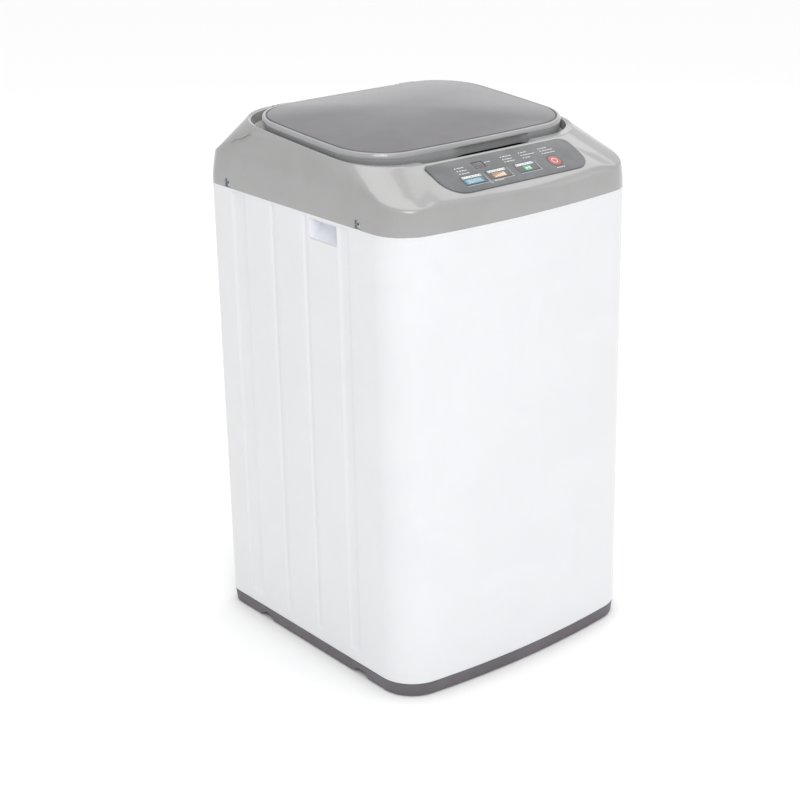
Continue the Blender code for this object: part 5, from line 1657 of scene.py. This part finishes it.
def makeAgitator():
    base = agitator["hubTop"]
    radii = [0.0105, 0.013, 0.016, 0.019, 0.022, 0.026]
    radii += [0.026 + 0.004 * k for k in range(1, 29)] + [0.1395, 0.1410, 0.1420, 0.1426, 0.1430]
    around = 288

    def height(radius, turn):
        rise = throughMarks(agitator["marks"], radius)
        if 0.016 < radius < 0.134:
            for k in range(agitator["vanes"]):
                lead = agitator["turn"] + math.pi / 2 * k + agitator["swirl"] * ((radius - 0.07) / 0.07) ** 2
                aside = radius * abs(math.sin((turn - lead) / 2) * 2)
                wide = 0.0080 + 0.03 * max(0.0, radius - 0.05)
                crest = 0.0345 - 0.149 * (radius - 0.024)
                share = ease((1.0 - aside / wide) * 1.25) * ease((0.134 - radius) / 0.022)
                rise = max(rise, rise + (crest - rise) * share)
        return base + rise

    underside = ((0.1424, 0.0022), (0.1400, 0.0014), (0.1000, 0.0013), (0.0500, 0.0013), (0.0105, 0.0013))
    turns = [2 * math.pi * k / around for k in range(around)]
    rings = [[onCircle(radius, turn, height(radius, turn)) for turn in turns] for radius in radii]
    rings += [[onCircle(radius, turn, base + rise) for turn in turns] for radius, rise in underside]
    bm = bmesh.new()
    ringSkin(bm, rings + [rings[0]])
    addPiece(bm, "agitator_disc", "agitator", "naturalPlastic", ("pulsator",), 40)
    cap = [(0, 0.0470), (0.0040, 0.0469), (0.0048, 0.0463), (0.0056, 0.0467), (0.0078, 0.0458),
           (0.0096, 0.0438), (0.0100, 0.0420), (0.0100, 0.0350), (0, 0.0350)]
    bm = bmesh.new()
    lathe(bm, [(radius, base + rise) for radius, rise in cap], 48, closed=False)
    addPiece(bm, "agitator_cap", "agitator", "castAluminium", ("pulsator_cap",), 34)


lint = {"half": 0.038, "foot": 0.400, "top": 0.520, "band": 0.0060, "bulge": 0.0085}


def makeLintFilter():
    low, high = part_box("lint_filter")
    front, back = low.y, high.y
    bm = bmesh.new()
    halves = (lint["half"] - 0.0003, (lint["top"] - lint["foot"]) / 2 - 0.0003)
    centre = (lint["foot"] + lint["top"]) / 2

    def frameRing(margin, y, corner):
        ring = []
        for turn in range(4):
            for step in range(7):
                angle = math.pi / 2 * (turn + step / 6)
                cx = (halves[0] - margin - corner) * (1 if turn in (0, 3) else -1)
                cz = centre + (halves[1] - margin - corner) * (1 if turn in (0, 1) else -1)
                ring.append(Vector((cx + corner * math.cos(angle), y, cz + corner * math.sin(angle))))
        return ring

    band = lint["band"]
    levels = ((0.0, back, 0.008), (0.0, front + 0.0040, 0.008), (0.0006, front + 0.0026, 0.0075),
              (0.0020, front + 0.0020, 0.0060), (band - 0.0014, front + 0.0020, 0.0040),
              (band - 0.0002, front + 0.0026, 0.0034), (band, front + 0.0040, 0.0030), (band, back, 0.0030))
    rings = [frameRing(*level) for level in levels]
    ringSkin(bm, rings + [rings[0]])
    addPiece(bm, "lint_frame", "filter", "naturalPlastic", ("lint_filter",), 40)
    columns, rows = 26, 44

    def place(column, row):
        u, v = column / columns * 2 - 1, row / rows * 2 - 1
        bow = (1 - u ** 4) * (1 - v ** 4)
        return Vector((u * (halves[0] - band + 0.0010), front + 0.0050 - 0.0046 * bow, centre
                       + v * (halves[1] - band + 0.0010)))

    bm = bmesh.new()
    skin(bm, columns, rows, place)
    net = addPiece(bm, "lint_net", "filter", "bluePrint", (), 80)
    wires = net.modifiers.new("net", "WIREFRAME")
    wires.thickness = 0.00045
    wires.use_replace = True
    for side in (-1, 1):
        bm = bmesh.new()
        bmesh.ops.create_cube(bm, size=1.0)
        bmesh.ops.scale(bm, vec=(0.0100, 0.0030, 0.0090), verts=bm.verts)
        bmesh.ops.translate(bm, vec=(side * 0.022, front + 0.0024, lint["top"] - 0.0062), verts=bm.verts)
        softEdges(bm, bm.edges[:], 0.0008, 3)
        name = "lint_clip_" + ("left" if side < 0 else "right")
        addPiece(bm, name, "filter", "naturalPlastic")


makeBasket()
makeRims()
makeAgitator()
makeLintFilter()
print("washer: basket and agitator")


# suspension springs: the lower end stands on the hanger rod's plate

spring = {
    "radius": 0.0115,
    "wire": 0.0014,
    "foot": 0.2084,           # height of the wire's middle at the lower end
    "head": 0.2602,
    "closedRise": 0.0030,     # rise of the closed turn at each end
    "openTurns": 5,
    "steps": 20,              # faces along each turn
}


def makeSprings():
    middle = spring["head"] - spring["foot"] - 2 * spring["closedRise"]
    stages = ((1, spring["closedRise"]), (spring["openTurns"], middle), (1, spring["closedRise"]))
    corners = (("front_left", -1, -1), ("front_right", 1, -1), ("rear_right", 1, 1), ("rear_left", -1, 1))
    for name, sx, sy in corners:
        x, y = sx * washer["rod"][0], sy * washer["rod"][1]
        bm = bmesh.new()
        section = bmesh.ops.create_circle(bm, cap_ends=True, segments=10, radius=spring["wire"])["verts"]
        bmesh.ops.rotate(bm, verts=section, cent=(0, 0, 0), matrix=Matrix.Rotation(math.pi / 2, 3, "X"))
        bmesh.ops.translate(bm, vec=(x + spring["radius"], y, spring["foot"]), verts=section)
        last = bm.faces[:]
        for turns, rise in stages:
            steps = turns * spring["steps"]
            last = bmesh.ops.spin(bm, geom=last, cent=(x, y, 0), axis=(0, 0, 1), dvec=(0, 0, rise / steps),
                                  angle=2 * math.pi * turns, steps=steps)["geom_last"]
        piece = addPiece(bm, "suspension_spring_" + name, None, "zincSteel",
                         ("spring_" + name,), 50)
        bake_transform(piece)


makeSprings()
print("washer: suspension springs")


# CAD parts that keep their shape: hoses, drive, suspension and sensors

kept = {
    "naturalPlastic": ("outer_tub", "inlet_spout", "drain_valve", "pressure_sensor"),
    "greenPrint": ("control_board",),
    "blackPlastic": ("drain_hose", "drain_actuator"),
    "footRubber": ("drive_belt", "shaft_seal", "drain_plunger"),
    "zincSteel": ("hinge_pin_left", "hinge_pin_right", "drive_plate", "spin_sleeve", "drive_shaft",
                  "motor_body", "motor_shaft", "upper_bearing", "lower_bearing", "rod_front_left",
                  "rod_front_right",
                  "rod_rear_right", "rod_rear_left"),
    "castAluminium": ("basket_hub", "gearbox_housing", "large_pulley", "motor_pulley"),
}

for finish, nodes in kept.items():
    for node in nodes:
        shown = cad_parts[node]
        for number in range(len(shown.material_slots)):
            shown.material_slots[number].material = paints[finish]
print("washer: carried-over parts painted")
